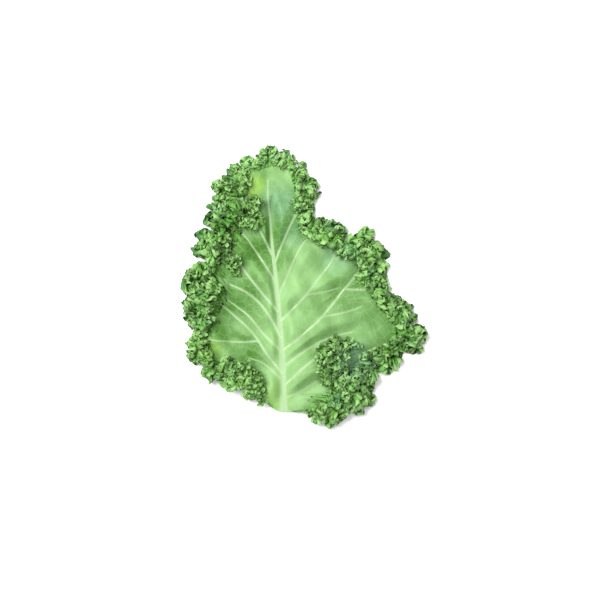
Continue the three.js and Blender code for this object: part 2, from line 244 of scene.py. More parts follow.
WAVES: dict[Pass, Waves] = {
    Pass.FOLDS: Waves(
        wave=27, narrow=15, share=0.4, most=13, start=0.05, growth=1.3,
        overhang=0.4, vary=0.25, jitter=1.0, lean=0.3, twist=0.7,
    ),
    Pass.CURLS: Waves(
        wave=14, narrow=10, share=0.26, most=6.4, start=0.08, growth=1.0,
        overhang=0.42, vary=0.3, jitter=1.0, lean=0.5, twist=1.5,
    ),
    Pass.RUFFLES: Waves(
        wave=7, narrow=6, share=0.13, most=2.8, start=0.08, growth=0.8,
        overhang=0.42, vary=0.4, jitter=1.2, lean=0.6, twist=1.9,
    ),
}

# The noises along the margin: their length in waves, then what their seed adds for each earlier
# set of waves, and once.
SPACING_NOISE = (2.3, 31, 0)
LEAN_NOISE = (1.7, 57, 5)
HEIGHT_NOISE = (1.9, 91, 9)
WINDING_NOISE = (2.9, 13, 3)

# The seeded random numbers that the noises start from, and how many sines a noise adds up.
RANDOM_FACTOR = 1664525
RANDOM_STEP = 1013904223
RANDOM_RANGE = 4294967296
NOISE_SINES = 5


def wanderer(wavelength: float, seed: int) -> Callable[[np.ndarray], np.ndarray]:
    """Smooth noise of about unit size along a length, made of a few sine waves.

    Args:
        wavelength: Typical length of the noise.
        seed: Start of its random numbers.

    Returns:
        A function from lengths to the noise there.
    """
    lowest, step, spread = 0.45, 0.35, 0.3
    state = seed
    waves = []
    for k in range(NOISE_SINES):
        state = (state * RANDOM_FACTOR + RANDOM_STEP) % RANDOM_RANGE
        pitch = (lowest + step * k + spread * state / RANDOM_RANGE) / wavelength
        state = (state * RANDOM_FACTOR + RANDOM_STEP) % RANDOM_RANGE
        waves.append((pitch, state / RANDOM_RANGE))
    scale = 1 / (1.6 * math.sqrt(NOISE_SINES / 2))
    return lambda x: scale * sum(np.sin(2 * np.pi * (x * p + phase)) for p, phase in waves)


def smooth(low: Numbers, high: Numbers, x: Numbers) -> Numbers:
    """Eases from 0 at low to 1 at high."""
    t = np.clip((x - low) / (high - low), 0, 1)
    return t * t * (3 - 2 * t)


def lerp(a: Numbers, b: Numbers, share: Numbers) -> Numbers:
    """The value at a share of the way from a to b."""
    return a + (b - a) * share


def unit(v: np.ndarray) -> np.ndarray:
    """Vectors scaled to length 1."""
    return v / np.maximum(np.linalg.norm(v, axis=-1, keepdims=True), 1e-12)


def from_pixel(x: float, y: float) -> tuple[float, float]:
    """The place on the drawn leaf, in millimetres, under a pixel of the picture."""
    return (x - PIXEL_ORIGIN[0]) * PIXEL_MM, (PIXEL_ORIGIN[1] - y) * PIXEL_MM


def placed(points: np.ndarray) -> np.ndarray:
    """Points of the drawn leaf, in millimetres, moved over the origin and turned into metres."""
    return (points - np.array([*LEAF_MIDDLE, 0.0])) * MM


def margin_row(
    place: float, outer_x: float, outer_y: float, inner_x: float, inner_y: float
) -> tuple[float, ...]:
    """Turns one row of the frill as seen into the sheet's margin there.

    Args:
        place: The place along the leaf.
        outer_x: Pixel of the frill's outer edge.
        outer_y: Its row of pixels.
        inner_x: Pixel of the frill's inner edge.
        inner_y: Its row of pixels.

    Returns:
        The place, the margin's x and y, the width of the frilled band and the frill's height.
    """
    outer = np.array(from_pixel(outer_x, outer_y))
    inner = np.array(from_pixel(inner_x, inner_y))
    seen = float(np.linalg.norm(outer - inner))
    margin = lerp(outer, inner, MARGIN_INSET)
    width = FRILL_SHARE * seen
    full = MOST_LIFT * (1 - math.exp(-LIFT_SHARE * width / MOST_LIFT))
    lift = full * float(smooth(*STANDING_BAND, width))
    return place, float(margin[0]), float(margin[1]), width, lift


@dataclass(frozen=True)
class Curve:
    """A smooth curve through rows of places and values.

    Attributes:
        at: The rows' places, rising.
        value: The value at each place.
    """

    at: np.ndarray
    value: np.ndarray

    @classmethod
    def through(cls, rows: tuple[tuple[float, ...], ...], column: int) -> "Curve":
        """The curve through one column of a table whose first column is the place."""
        table = np.array(rows, float)
        return cls(table[:, 0], table[:, column])

    def __call__(self, x: np.ndarray | float) -> np.ndarray:
        """The curve's values.

        Args:
            x: Places.

        Returns:
            The value at each place.
        """
        at, value = self.at, self.value
        last = len(at) - 1
        before = np.maximum(0, np.arange(last + 1) - 1)
        after = np.minimum(last, np.arange(last + 1) + 1)
        slope = (value[after] - value[before]) / (at[after] - at[before])
        i = np.clip(np.searchsorted(at, x, side="right") - 1, 0, last - 1)
        h = at[i + 1] - at[i]
        w = (x - at[i]) / h
        w2, w3 = w * w, w * w * w
        ends = (2 * w3 - 3 * w2 + 1) * value[i] + (3 * w2 - 2 * w3) * value[i + 1]
        return ends + h * ((w3 - 2 * w2 + w) * slope[i] + (w3 - w2) * slope[i + 1])


def drawn_curve(
    pixels: tuple[tuple[float, float], ...]
) -> tuple[Callable[[np.ndarray], np.ndarray], float]:
    """Draws a smooth curve on the leaf through pixels of the picture.

    Args:
        pixels: Along the curve.

    Returns:
        A function from lengths along the curve to its points there, and the whole length.
    """
    marks = np.array([from_pixel(*pixel) for pixel in pixels])
    at = np.concatenate([[0], np.cumsum(np.linalg.norm(np.diff(marks, axis=0), axis=-1))])
    curves = [Curve(at, marks[:, k]) for k in (0, 1)]
    return lambda steps: np.stack([curve(steps) for curve in curves], -1), float(at[-1])


def lengths_along(points: np.ndarray) -> np.ndarray:
    """Length along the outer edge of a grid of points up to each column."""
    steps = np.linalg.norm(np.diff(points[:, -1], axis=0), axis=-1)
    return np.concatenate([[0], np.cumsum(steps)])


def directions(points: np.ndarray) -> tuple[np.ndarray, np.ndarray, np.ndarray]:
    """Unit directions at each point of a grid.

    Args:
        points: Columns by rows.

    Returns:
        The directions along the grid, out to its edge and square to it.
    """
    padded = np.concatenate([points[:1], points, points[-1:]])
    along = unit(padded[2:] - padded[:-2])
    wide = np.concatenate([points[:, :1], points, points[:, -1:]], axis=1)
    out = unit(wide[:, 2:] - wide[:, :-2])
    return along, out, unit(np.cross(out, along))


def facing(grid: np.ndarray, rims: np.ndarray) -> np.ndarray:
    """Unit directions square to the quads round each point of a grid.

    Args:
        grid: Points, columns by rows.
        rims: The directions to keep along the grid's foot and its two ends, so that neighbouring
            pieces match.

    Returns:
        The direction at each point, on the side of the rims'.
    """
    quads = np.cross(grid[:-1, 1:] - grid[1:, :-1], grid[1:, 1:] - grid[:-1, :-1])
    total = np.zeros_like(grid)
    for across in (slice(0, -1), slice(1, None)):
        for out in (slice(0, -1), slice(1, None)):
            total[across, out] += quads
    total = unit(total)
    if np.sum(total * rims) < 0:
        total = -total
    total[0], total[-1], total[:, 0] = rims[0], rims[-1], rims[:, 0]
    return total


def standing(
    shares: np.ndarray, slopes: tuple[float, float, float], middle: float
) -> tuple[np.ndarray, np.ndarray]:
    """The run and the rise, both from 0 to 1, of a band that steepens towards its edge.

    Args:
        shares: Of the band's width.
        slopes: At its foot, its middle and its edge, in degrees.
        middle: Where the middle is, as a share of the width.

    Returns:
        The run and the rise at the shares.
    """
    steps = 400
    q = (np.arange(steps) + 0.5) / steps
    up = lerp(slopes[0], slopes[1], smooth(0, middle, q))
    over = lerp(slopes[1], slopes[2], smooth(middle, 1, q))
    slope = np.radians(np.where(q < middle, up, over))
    run = np.concatenate([[0], np.cumsum(np.cos(slope))])
    rise = np.concatenate([[0], np.cumsum(np.sin(slope))])
    at, marks = steps * shares, np.arange(steps + 1)
    return np.interp(at, marks, run / run[-1]), np.interp(at, marks, rise / rise[-1])


@dataclass(frozen=True)
class Band:
    """A band of the leaf that is thrown into waves.

    Attributes:
        q: Each row's share of the band, from its foot to its edge.
        depth: Width of the band at each column, in millimetres.
        strength: Of the waves at each column, from 0 to 1.
        delay: How late the waves grow at each column, 1 where they are neither late nor early.
        half: Half the thickness of the leaf.
        seed: Start of the waves' random numbers.
        widths: Widths between which the waves lengthen from those of a narrow band.
        crossing: Length of the creases' winding on their way to the edge, in waves.
        winding: How far that winding wanders, in radians.
        cushion: Height over which the band eases onto the floor.
        clear: How many such heights above the floor the band is left as it is.
    """

    q: np.ndarray
    depth: np.ndarray
    strength: np.ndarray
    delay: np.ndarray
    half: float
    seed: int
    widths: tuple[float, float] = (10.0, 45.0)
    crossing: float = 1.7
    winding: float = 2.5
    cushion: float = 0.5
    clear: float = 12.0

    def gathered(self, points: np.ndarray) -> np.ndarray:
        """Throws the band into all the waves and eases it onto the floor.

        Args:
            points: The band's grid of points, before any waves.

        Returns:
            The points with the waves.
        """
        for order, waves in WAVES.items():
            points = self._with(points, waves, order.value)
        low = (points[..., 2] - self.half) / self.cushion
        settled = self.half + self.cushion * np.log1p(np.exp(np.minimum(low, self.clear)))
        points[..., 2] = np.where(low < self.clear, settled, points[..., 2])
        return points

    def _noise(self, kind: tuple[float, int, int], waves: Waves, order: int, at: np.ndarray) -> np.ndarray:
        """One kind of noise at lengths along the margin, for one set of waves."""
        lengths, each, once = kind
        return wanderer(waves.wave * lengths, self.seed + each * order + once)(at)

    def _with(self, points: np.ndarray, waves: Waves, order: int) -> np.ndarray:
        """Adds one set of waves, square to the sheet as it stands.

        Args:
            points: The grid so far.
            waves: The set of waves.
            order: Its number, from the broadest.

        Returns:
            The grid with the waves.
        """
        at = lengths_along(points)
        wave = lerp(waves.narrow, waves.wave, smooth(*self.widths, self.depth))
        turns = np.concatenate([[0], np.cumsum(np.diff(at) / wave[1:])])
        turn = 2 * np.pi * turns + waves.jitter * self._noise(SPACING_NOISE, waves, order, at)
        lean = (waves.lean * self._noise(LEAN_NOISE, waves, order, at))[:, None, None]
        reach = np.minimum(waves.share * self.depth, waves.most)
        height = reach * (1 + waves.vary * self._noise(HEIGHT_NOISE, waves, order, at)) * self.strength
        share = np.clip((self.q - waves.start) / (1 - waves.start), 0, 1)
        rise = share[None] ** (waves.growth * self.delay[:, None])
        size = (height[:, None] * rise)[..., None]
        along, out, square = directions(points)
        wandering = self._noise(WINDING_NOISE, waves, order, at)[:, None]
        outward = 2 * np.pi * self.q[None] * self.depth[:, None] / (self.crossing * waves.wave)
        crossing = np.sin(outward + self.winding * wandering)
        turn = (turn[:, None] + waves.twist * crossing)[..., None]
        push = unit(square * np.cos(lean) + out * np.sin(lean))
        return points + push * size * np.sin(turn) - along * waves.overhang * size * np.sin(2 * turn)


@dataclass
class Sheet:
    """The leaf's middle surface as a grid of columns, which run out to the margin, and rows.

    Columns run from the cut up the left side, round the tip and down the right side. Rows run from
    the midrib's centre over its edge and the blade to the frill's edge.

    Attributes:
        columns: Number of steps from the cut round to the cut again.
        coarse: Columns from one that the veins are worked out at to the next.
        rib_rows: Steps from the midrib's centre to its edge.
        blade_rows: Steps from there to the frill's foot.
        frill_rows: Steps from there to the margin.
        midrib_length: From the cut to where the midrib fades.
        cut_y: Where the midrib is cut.
        rib_half_width: At the cut, then at the tip.
        rib_depth: How far the midrib stands out below the blade, at the cut and at the tip.
        foot_height: Height of the blade's underside where the frill starts.
        puff: How far the blade swells between the veins.
        roll: How far it rises on the whole, and rises and sinks about that over longer stretches.
        frill_run: Reach of the standing frill as a share of its band's width.
        slopes: Of the frill at its foot, middle and edge, in degrees.
        steepest: Where the middle is, as a share of the band.
        bow: Sideways bow of the lines out to the margin, as a share of their length.
        least_slant: Least sine of the angle at which a line is taken to cross the frill.
        waveless: Share of the leaf over which the waves come in, up from the cut.
        lateness: How much later the waves grow where the lines cross the frill at a slant.
        evenness: How much the columns' spacing follows the flat margin beside the folded one.
        half: Half the thickness of the blade.
        seed: Start of the waves' random numbers.
        nearby: Step along the margin to the neighbouring places that give its direction.
        tip: Place from which the lines fan out round the tip.
        most_frill: The most of a line that the frill takes up.
        full_foot: Widths of open blade between which the blade comes down to its foot's height.
        edge_rows: How much closer together the frill's rows are towards its edge, 1 or more.
        wide: Depths of the frill between which it counts as wide.
        early: How much earlier the waves grow where it is wide.
        swell_from: Distance from the midrib over which the swelling comes in.
        swell_to: Shares of the frill over which it goes out again.
        roll_waves: Typical lengths of the two rolling noises.
        roll_slants: How far those run askew to the leaf.
        veins: The side veins' paths.
        near: Each column's place, from 0 at the cut to 1 at the tip.
        share: How far up the midrib, as a share of its length, each column starts.
        root: Where each column starts, on the midrib's centre.
        frill: Length of each column's line in the frill.
        lift: Height of the standing frill at each column.
        q: Each row's share of the frill.
        frilled: How far into the frill each point is, from 0 to 1, as the waves grow.
        points: Points of the sheet, columns by rows.
        flat: The same pressed out flat, without their heights.
        normals: Unit directions square to the sheet at the points.
    """

    columns: int = 9600
    coarse: int = 10
    rib_rows: int = 4
    blade_rows: int = 46
    frill_rows: int = 16
    midrib_length: float = 186.0
    cut_y: float = -110.0
    rib_half_width: tuple[float, float] = (4.2, 1.2)
    rib_depth: tuple[float, float] = (5.2, 1.0)
    foot_height: float = 0.0
    puff: float = 2.4
    roll: float = 2.2
    frill_run: float = 0.66
    slopes: tuple[float, float, float] = (10.0, 60.0, 84.0)
    steepest: float = 0.5
    bow: float = 0.05
    least_slant: float = 0.5
    waveless: float = 0.02
    lateness: float = 2.6
    evenness: float = 3.0
    half: float = 0.4
    seed: int = 7
    nearby: float = 0.005
    tip: float = 0.8
    most_frill: float = 0.85
    full_foot: tuple[float, float] = (4.0, 50.0)
    edge_rows: float = 1.25
    wide: tuple[float, float] = (22.0, 42.0)
    early: float = 0.4
    swell_from: float = 12.0
    swell_to: tuple[float, float] = (0.1, 0.5)
    roll_waves: tuple[float, float] = (52.0, 64.0)
    roll_slants: tuple[float, float] = (0.6, 0.5)
    veins: "VeinMap" = field(init=False)
    near: np.ndarray = field(init=False)
    share: np.ndarray = field(init=False)
    root: np.ndarray = field(init=False)
    frill: np.ndarray = field(init=False)
    lift: np.ndarray = field(init=False)
    q: np.ndarray = field(init=False)
    frilled: np.ndarray = field(init=False)
    points: np.ndarray = field(init=False)
    flat: np.ndarray = field(init=False)
    normals: np.ndarray = field(init=False)

    def __post_init__(self) -> None:
        """Shapes the sheet twice, with its columns at even places and then at even steps."""
        right_onward = [(2 - row[0], *row[1:]) for row in RIGHT_FRILL[-2::-1]]
        margin = tuple(margin_row(*row) for row in (*LEFT_FRILL, *right_onward))
        self._margin = [Curve.through(margin, k) for k in (1, 2, 3, 4)]
        self._midrib = Curve.through(MIDRIB_X, 1)
        self._start = Curve.through(LINE_STARTS, 1)
        self.veins = VeinMap()
        even = np.linspace(0, 2, self.columns + 1)
        self._shape(even)
        flat_lengths = lengths_along(self._margin_point(even)[:, None])
        lengths = lengths_along(self.points) + self.evenness * flat_lengths
        self._shape(np.interp(np.linspace(0, lengths[-1], self.columns + 1), lengths, even))
        self.normals = directions(self.points)[2]
        folded = lengths_along(self.points)[-1]
        LOG.info("margin %.0f mm long before the waves and %.0f mm after", self._plain, folded)

    def _midrib_point(self, share: np.ndarray) -> np.ndarray:
        """Points of the midrib's centre line, flat, at shares of its length."""
        return np.stack([self._midrib(share), self.cut_y + share * self.midrib_length, 0 * share], -1)

    def _margin_point(self, place: np.ndarray) -> np.ndarray:
        """Points of the flat margin at places from 0 round to 2."""
        return np.stack([self._margin[0](place), self._margin[1](place), 0 * place], -1)

    def midrib_path(self, steps: int) -> tuple[np.ndarray, np.ndarray]:
        """The midrib's centre line at the height of the blade.

        Args:
            steps: Number of steps along it.

        Returns:
            Its points, and the share of its length at each.
        """
        share = np.linspace(0, 1, steps + 1)
        points = self._midrib_point(share)
        points[:, 2] = self.half + lerp(*self.rib_depth, share)
        return points, share

    def _shape(self, places: np.ndarray) -> None:
        """Shapes the sheet with its columns at these places.

        Args:
            places: From 0 at the cut up the left side to 1, and down the right side to 2.
        """
        self._draw_lines(places)
        points = self._smooth_sheet()
        self._plain = lengths_along(points)[-1]
        strength = smooth(0, self.waveless, self.near)
        late = 1 + self.lateness * (self.frill / self._frill_depth - 1)
        self.frilled = self.q[None] ** np.sqrt(late)[:, None]
        delay = late * (1 - self.early * smooth(*self.wide, self._frill_depth))
        band = Band(self.q, self._frill_depth, strength, delay, self.half, self.seed)
        self.points = band.gathered(points)

    def _draw_lines(self, place: np.ndarray) -> None:
        """Draws the line of each place, from the midrib's edge to the margin.

        Args:
            place: From 0 at the cut up the left side to 1, and down the right side to 2.
        """
        side = np.where(place <= 1, -1.0, 1.0)[:, None]
        self.near = np.minimum(place, 2 - place)
        self.share = self._start(self.near)
        self.root = self._midrib_point(self.share)
        edge = self._margin_point(place)
        step = 2 * self.nearby
        forward = unit(self._midrib_point(self.share + step) - self._midrib_point(self.share - step))
        sideways = np.stack([forward[:, 1], -forward[:, 0], 0 * side[:, 0]], -1) * side
        outward = unit(edge - self.root)
        at_tip = smooth(self.tip, 1, self.near)[:, None]
        half_width = lerp(*self.rib_half_width, self.share)[:, None]
        self._rib_edge = self.root + unit(lerp(sideways, outward, at_tip)) * half_width
        line = edge - self._rib_edge
        self._length = np.linalg.norm(line, axis=-1)
        self._along = unit(line)
        turned = np.stack([-self._along[:, 1], self._along[:, 0], 0 * place], -1)
        self._across = turned * side * (1 - at_tip)
        tangent = unit(self._margin_point(place + self.nearby) - self._margin_point(place - self.nearby))
        crossing = np.linalg.norm(np.cross(self._along, tangent), axis=-1)
        slant = np.maximum(crossing, self.least_slant)
        self.frill = np.minimum(self._margin[2](place) / slant, self.most_frill * self._length)
        self._foot = self._length - self.frill
        self._frill_depth = self.frill * slant
        self.lift = self._margin[3](place)

    def _level(self, distance: np.ndarray) -> np.ndarray:
        """Height of the blade's middle surface before it swells.

        Args:
            distance: From the midrib's edge, one row for each column.

        Returns:
            The height at each distance.
        """
        rib = lerp(*self.rib_depth, self.share)[:, None]
        foot = lerp(rib, self.foot_height, smooth(*self.full_foot, self._foot)[:, None])
        drop = smooth(0, np.maximum(self._foot, 1)[:, None], distance)
        return self.half + lerp(rib, foot, drop)

    def _on_line(self, distance: np.ndarray) -> np.ndarray:
        """Points of the lines from the midrib out to the margin.

        Args:
            distance: From the midrib's edge, one row for each column.

        Returns:
            The point at each distance.
        """
        length = self._length[:, None]
        bow = self.bow * length * np.sin(np.pi * np.clip(distance / length, 0, 1))
        points = self._rib_edge[:, None] + self._along[:, None] * distance[..., None]
        points = points + self._across[:, None] * bow[..., None]
        points[..., 2] = self._level(distance)
        return points

    def _shares(self) -> np.ndarray:
        """The rows' shares of the frilled band, closer together towards the edge."""
        return 1 - (1 - np.linspace(0, 1, self.frill_rows + 1)) ** self.edge_rows

    def _smooth_sheet(self) -> np.ndarray:
        """Shapes the sheet before any waves, and keeps its rows pressed out flat.

        Returns:
            The sheet's points.
        """
        rib_shares = np.linspace(0, 1, self.rib_rows + 1)[None, :, None]
        rib = lerp(self.root[:, None], self._rib_edge[:, None], rib_shares)
        rib[..., 2] = self._level(np.zeros((len(self.near), 1)))
        foot, frill_length = self._foot[:, None], self.frill[:, None]
        blade = self._on_line(np.linspace(0, 1, self.blade_rows + 1)[1:][None] * foot)
        q = self._shares()[1:]
        run, rise = standing(q, self.slopes, self.steepest)
        frill = self._on_line(foot + self.frill_run * frill_length * run[None])
        frill[..., 2] += self.lift[:, None] * rise[None]
        pressed = self._on_line(foot + frill_length * q[None])
        self.flat = np.concatenate([rib, blade, pressed], axis=1)[..., :2]
        self.q = np.concatenate([np.zeros(self.foot_row + 1), q])
        points = np.concatenate([rib, blade, frill], axis=1)
        points[..., 2] += self._swell(points)
        return points

    def _swell(self, points: np.ndarray) -> np.ndarray:
        """How far the blade swells between its veins and rolls over longer stretches.

        Args:
            points: The sheet's points.

        Returns:
            The rise at each point.
        """
        from_midrib = np.linalg.norm(points[..., :2] - self.root[:, None, :2], axis=-1)
        x, y = self.flat[..., 0], self.flat[..., 1]
        noises = [wanderer(length, self.seed + 7 + k) for k, length in enumerate(self.roll_waves)]
        rolling = noises[0](x + self.roll_slants[0] * y) + noises[1](y - self.roll_slants[1] * x)
        between = self.spread(self.veins.between(self.flat[:: self.coarse]))
        swell = self.puff * between + self.roll * (1 + rolling)
        return swell * smooth(0, self.swell_from, from_midrib) * (1 - smooth(*self.swell_to, self.q))[None]

    def spread(self, coarse: np.ndarray) -> np.ndarray:
        """Fills in the columns between values worked out at some of them.

        Args:
            coarse: Values at every one of the coarse columns.

        Returns:
            Values at all the columns.
        """
        parts = [lerp(coarse[:-1], coarse[1:], k / self.coarse) for k in range(self.coarse)]
        filled = np.stack(parts, axis=1).reshape(-1, *coarse.shape[1:])
        return np.concatenate([filled, coarse[-1:]])

    @property
    def foot_row(self) -> int:
        """The row where the frill starts."""
        return self.rib_rows + self.blade_rows


class Ground:
    """The sheet's open blade and the frill's foot, found by their place seen from above."""

    NEIGHBOURS = 3  # points that a height is the mean of
    LAST_ROWS = 2  # rows before the frill's foot that no longer count as open

    def __init__(self, sheet: Sheet, step: int = 16, rows: int = 8) -> None:
        """Collects points of the sheet.

        Args:
            sheet: The shaped sheet.
            step: Columns from one that counts to the next.
            rows: Rows of the frill that count.
        """
        count = sheet.foot_row + rows
        points = sheet.points[::step, :count].reshape(-1, 3)
        self.heights = points[:, 2]
        self.is_open = np.arange(len(points)) % count < sheet.foot_row - self.LAST_ROWS
        self.tree = KDTree(len(points))
        for i, (x, y, _) in enumerate(points):
            self.tree.insert((x, y, 0), i)
        self.tree.balance()

    def below(self, places: np.ndarray) -> np.ndarray:
        """Heights of the sheet's middle surface at places."""
        found = [self.tree.find_n((x, y, 0), self.NEIGHBOURS) for x, y in places]
        return np.array([np.mean([self.heights[hit[1]] for hit in hits]) for hits in found])

    def in_blade(self, places: np.ndarray) -> np.ndarray:
        """Whether places are over the open blade."""
        return np.array([self.is_open[self.tree.find((x, y, 0))[1]] for x, y in places])


@dataclass
class VeinMap:
    """The side veins' paths on the drawn leaf, and how far places are from them.

    Attributes:
        step: Spacing of the points along each path, in millimetres.
        puff_reach: Distance from a vein over which the blade swells.
        end_width: Of a vein, as a share of its width where it starts.
        core: Share of a vein's half width that is wholly vein.
        skirt: Share of it at which the vein ends.
        blur: How much further out than that it fades, in millimetres.
        segments: Straight steps that stand for a path where distances are measured.
        paths: Each vein's points and its half widths there.
    """

    step: float = 1.5
    puff_reach: float = 10.0
    end_width: float = 0.3
    core: float = 0.2
    skirt: float = 1.35
    blur: float = 0.7
    segments: int = 10
    paths: list[tuple[np.ndarray, np.ndarray]] = field(init=False)

    def __post_init__(self) -> None:
        """Draws a smooth path through each vein's pixels, with its half width tapering along it."""
        self.paths = []
        for half_width, pixels in SIDE_VEINS:
            curve, length = drawn_curve(pixels)
            steps = np.linspace(0, length, max(4, int(length / self.step)))
            self.paths.append((curve(steps), half_width * lerp(1.0, self.end_width, steps / length)))

    def between(self, places: np.ndarray) -> np.ndarray:
        """0 on a vein, rising to 1 away from the veins."""
        return smooth(0, self.puff_reach, self.distance(places))

    def distance(self, places: np.ndarray) -> np.ndarray:
        """Distance from the nearest vein, in millimetres."""
        return np.min([self._to_path(places, path)[0] for path, _ in self.paths], axis=0)

    def mask(self, places: np.ndarray) -> np.ndarray:
        """How far places are on a vein.

        Args:
            places: On the drawn leaf, in millimetres.

        Returns:
            1 on the centre of a vein, falling to 0 at its edge and beyond.
        """
        best = np.zeros(places.shape[:-1])
        for path, width in self.paths:
            away, share = self._to_path(places, path)
            half = np.interp(share, np.linspace(0, 1, len(width)), width)
            best = np.maximum(best, 1 - smooth(self.core * half, self.skirt * half + self.blur, away))
        return best

    def _to_path(self, places: np.ndarray, path: np.ndarray) -> tuple[np.ndarray, np.ndarray]:
        """Measures places from one path.

        Args:
            places: On the drawn leaf, in millimetres.
            path: The path's points.

        Returns:
            The distance of each place from the path, and the share of the path where it is nearest.
        """
        best = np.full(places.shape[:-1], np.inf)
        share = np.zeros(places.shape[:-1])
        coarse = path[:: max(1, (len(path) - 1) // self.segments)]
        if not np.array_equal(coarse[-1], path[-1]):
            coarse = np.concatenate([coarse, path[-1:]])
        for k, (a, b) in enumerate(zip(coarse[:-1], coarse[1:])):
            edge = b - a
            t = np.clip(((places - a) @ edge) / (edge @ edge), 0, 1)
            away = np.linalg.norm(places - a - t[..., None] * edge, axis=-1)
            closer = away < best
            best = np.where(closer, away, best)
            share = np.where(closer, (k + t) / (len(coarse) - 1), share)
        return best, share


def linear(code: str) -> tuple[float, float, float, float]:
    """Turns a colour into linear light.

    Args:
        code: The hexadecimal sRGB code.

    Returns:
        Its red, green and blue, and full opacity.
    """
    values = [int(code[k : k + 2], 16) / 255 for k in (0, 2, 4)]
    rgb = [v / 12.92 if v <= 0.04045 else ((v + 0.055) / 1.055) ** 2.4 for v in values]
    return rgb[0], rgb[1], rgb[2], 1.0


class Mask(Enum):
    """What each point of a leaf piece tells the finish, by the name of its attribute."""

    FRILL = "frill"
    VEIN = "vein"
    RIM = "rim"
    # Painted shade in the frill's hollows and at the feet of the ruffles.
    HOLLOW = "hollow"
    BLOOM = "bloom"
    # Patches of painted shade, where less light falls on the leaf.
    DEEP = "deep"
    BRIGHT = "bright"


class Value:
    """A shader socket's output that takes part in Python expressions."""

    def __init__(self, surface: "Surface", socket: bpy.types.NodeSocket) -> None:
        """Wraps one output socket of a surface's node tree."""
        self.surface = surface
        self.socket = socket

    def _maths(self, operation: str, first: "Value | float", second: "Value | float") -> "Value":
        """The Math node that joins two values or links."""
        return self.surface.node("ShaderNodeMath", {"operation": operation}, {0: first, 1: second})

    def __add__(self, other: "Value | float") -> "Value":
        """This plus the other."""
        return self._maths("ADD", self, other)

    def __radd__(self, other: "Value | float") -> "Value":
        """The other plus this."""
        return self._maths("ADD", other, self)

    def __sub__(self, other: "Value | float") -> "Value":
        """This less the other."""
        return self._maths("SUBTRACT", self, other)

    def __rsub__(self, other: "Value | float") -> "Value":
        """The other less this."""
        return self._maths("SUBTRACT", other, self)

    def __mul__(self, other: "Value | float") -> "Value":
        """This times the other."""
        return self._maths("MULTIPLY", self, other)

    def __rmul__(self, other: "Value | float") -> "Value":
        """The other times this."""
        return self._maths("MULTIPLY", other, self)

    def eased(self, low: float, high: float) -> "Value":
        """Eases this from 0 at low to 1 at high."""
        values = {"Value": self, "From Min": low, "From Max": high}
        return self.surface.node("ShaderNodeMapRange", {"interpolation_type": "SMOOTHSTEP"}, values)


class Surface:
    """A material and its node tree."""

    def __init__(self, name: str) -> None:
        """Makes an empty material.

        Args:
            name: Of the material.
        """
        self.material = bpy.data.materials.new(name)
        self.material.use_nodes = True
        self.tree = self.material.node_tree
        self.tree.nodes.clear()

    def node(
        self, kind: str, settings: dict[str, str], values: dict[str | int, Any], output: str | int = 0
    ) -> Value:
        """Adds one node.

        Args:
            kind: The node's type.
            settings: Its properties, set before its sockets.
            values: Values or links of its input sockets, by name or number.
            output: The output socket to return.

        Returns:
            The chosen output.
        """
        made = self.tree.nodes.new(kind)
        for key, setting in settings.items():
            setattr(made, key, setting)
        for key, value in values.items():
            if isinstance(value, Value):
                self.tree.links.new(value.socket, made.inputs[key])
            else:
                made.inputs[key].default_value = value
        return Value(self, made.outputs[output])

    def attribute(self, name: str) -> Value:
        """The value of a mesh attribute."""
        return self.node("ShaderNodeAttribute", {"attribute_name": name}, {}, "Fac")

    def flat_place(self) -> Value:
        """The place on the leaf pressed flat, from the mesh's own map."""
        return self.node("ShaderNodeUVMap", {"uv_map": "flat"}, {})

    def object_place(self) -> Value:
        """The place in the object's own coordinates."""
        return self.node("ShaderNodeTexCoord", {}, {}, "Object")

    def noise(self, place: Value, scale: float) -> Value:
        """Noise from 0 to 1 at a place."""
        values = {"Vector": place, "Scale": scale, "Detail": 3.0, "Roughness": 0.55}
        return self.node("ShaderNodeTexNoise", {}, values)

    def blend(self, share: Value, first: Value | tuple[float, ...], second: str) -> Value:
        """The colour at a share of the way from the first to the second, which is given by its code."""
        values = {0: share, 6: first, 7: linear(second)}
        return self.node("ShaderNodeMix", {"data_type": "RGBA"}, values, 2)

    def vector(self, operation: str, values: dict[str | int, Any]) -> Value:
        """The Vector Math node of this operation."""
        return self.node("ShaderNodeVectorMath", {"operation": operation}, values)

    def finished(self, shader: Value) -> bpy.types.Material:
        """Links the finished shader.

        Args:
            shader: What the surface shows.

        Returns:
            The material.
        """
        end = self.tree.nodes.new("ShaderNodeOutputMaterial")
        self.tree.links.new(shader.socket, end.inputs["Surface"])
        return self.material


@dataclass(frozen=True)
class Net:
    """A net of fine veins on the leaf pressed flat.

    Attributes:
        scale: Of its cells, to the metre.
        line: Width of its lines, as a share of a cell.
        bend_scale: Of the noise that bends its lines.
        bend: How far they bend, in metres.
    """

    scale: float
    line: float
    bend_scale: float
    bend: float

    def lines(self, made: Surface, place: Value) -> Value:
        """Draws the net.

        Args:
            made: The surface.
            place: The place on the leaf pressed flat.

        Returns:
            1 on the lines and 0 in the cells.
        """
        wobble = {"Vector": place, "Scale": self.bend_scale, "Detail": 1.0}
        shift = made.node("ShaderNodeTexNoise", {}, wobble, "Color")
        centred = made.vector("SUBTRACT", {0: shift, 1: (0.5, 0.5, 0.5)})
        scaled = made.vector("SCALE", {0: centred, "Scale": self.bend})
        bent = made.vector("ADD", {0: place, 1: scaled})
        settings = {"feature": "DISTANCE_TO_EDGE", "voronoi_dimensions": "2D"}
        from_edge = made.node("ShaderNodeTexVoronoi", settings, {"Vector": bent, "Scale": self.scale})
        return 1 - from_edge.eased(0.0, self.line)


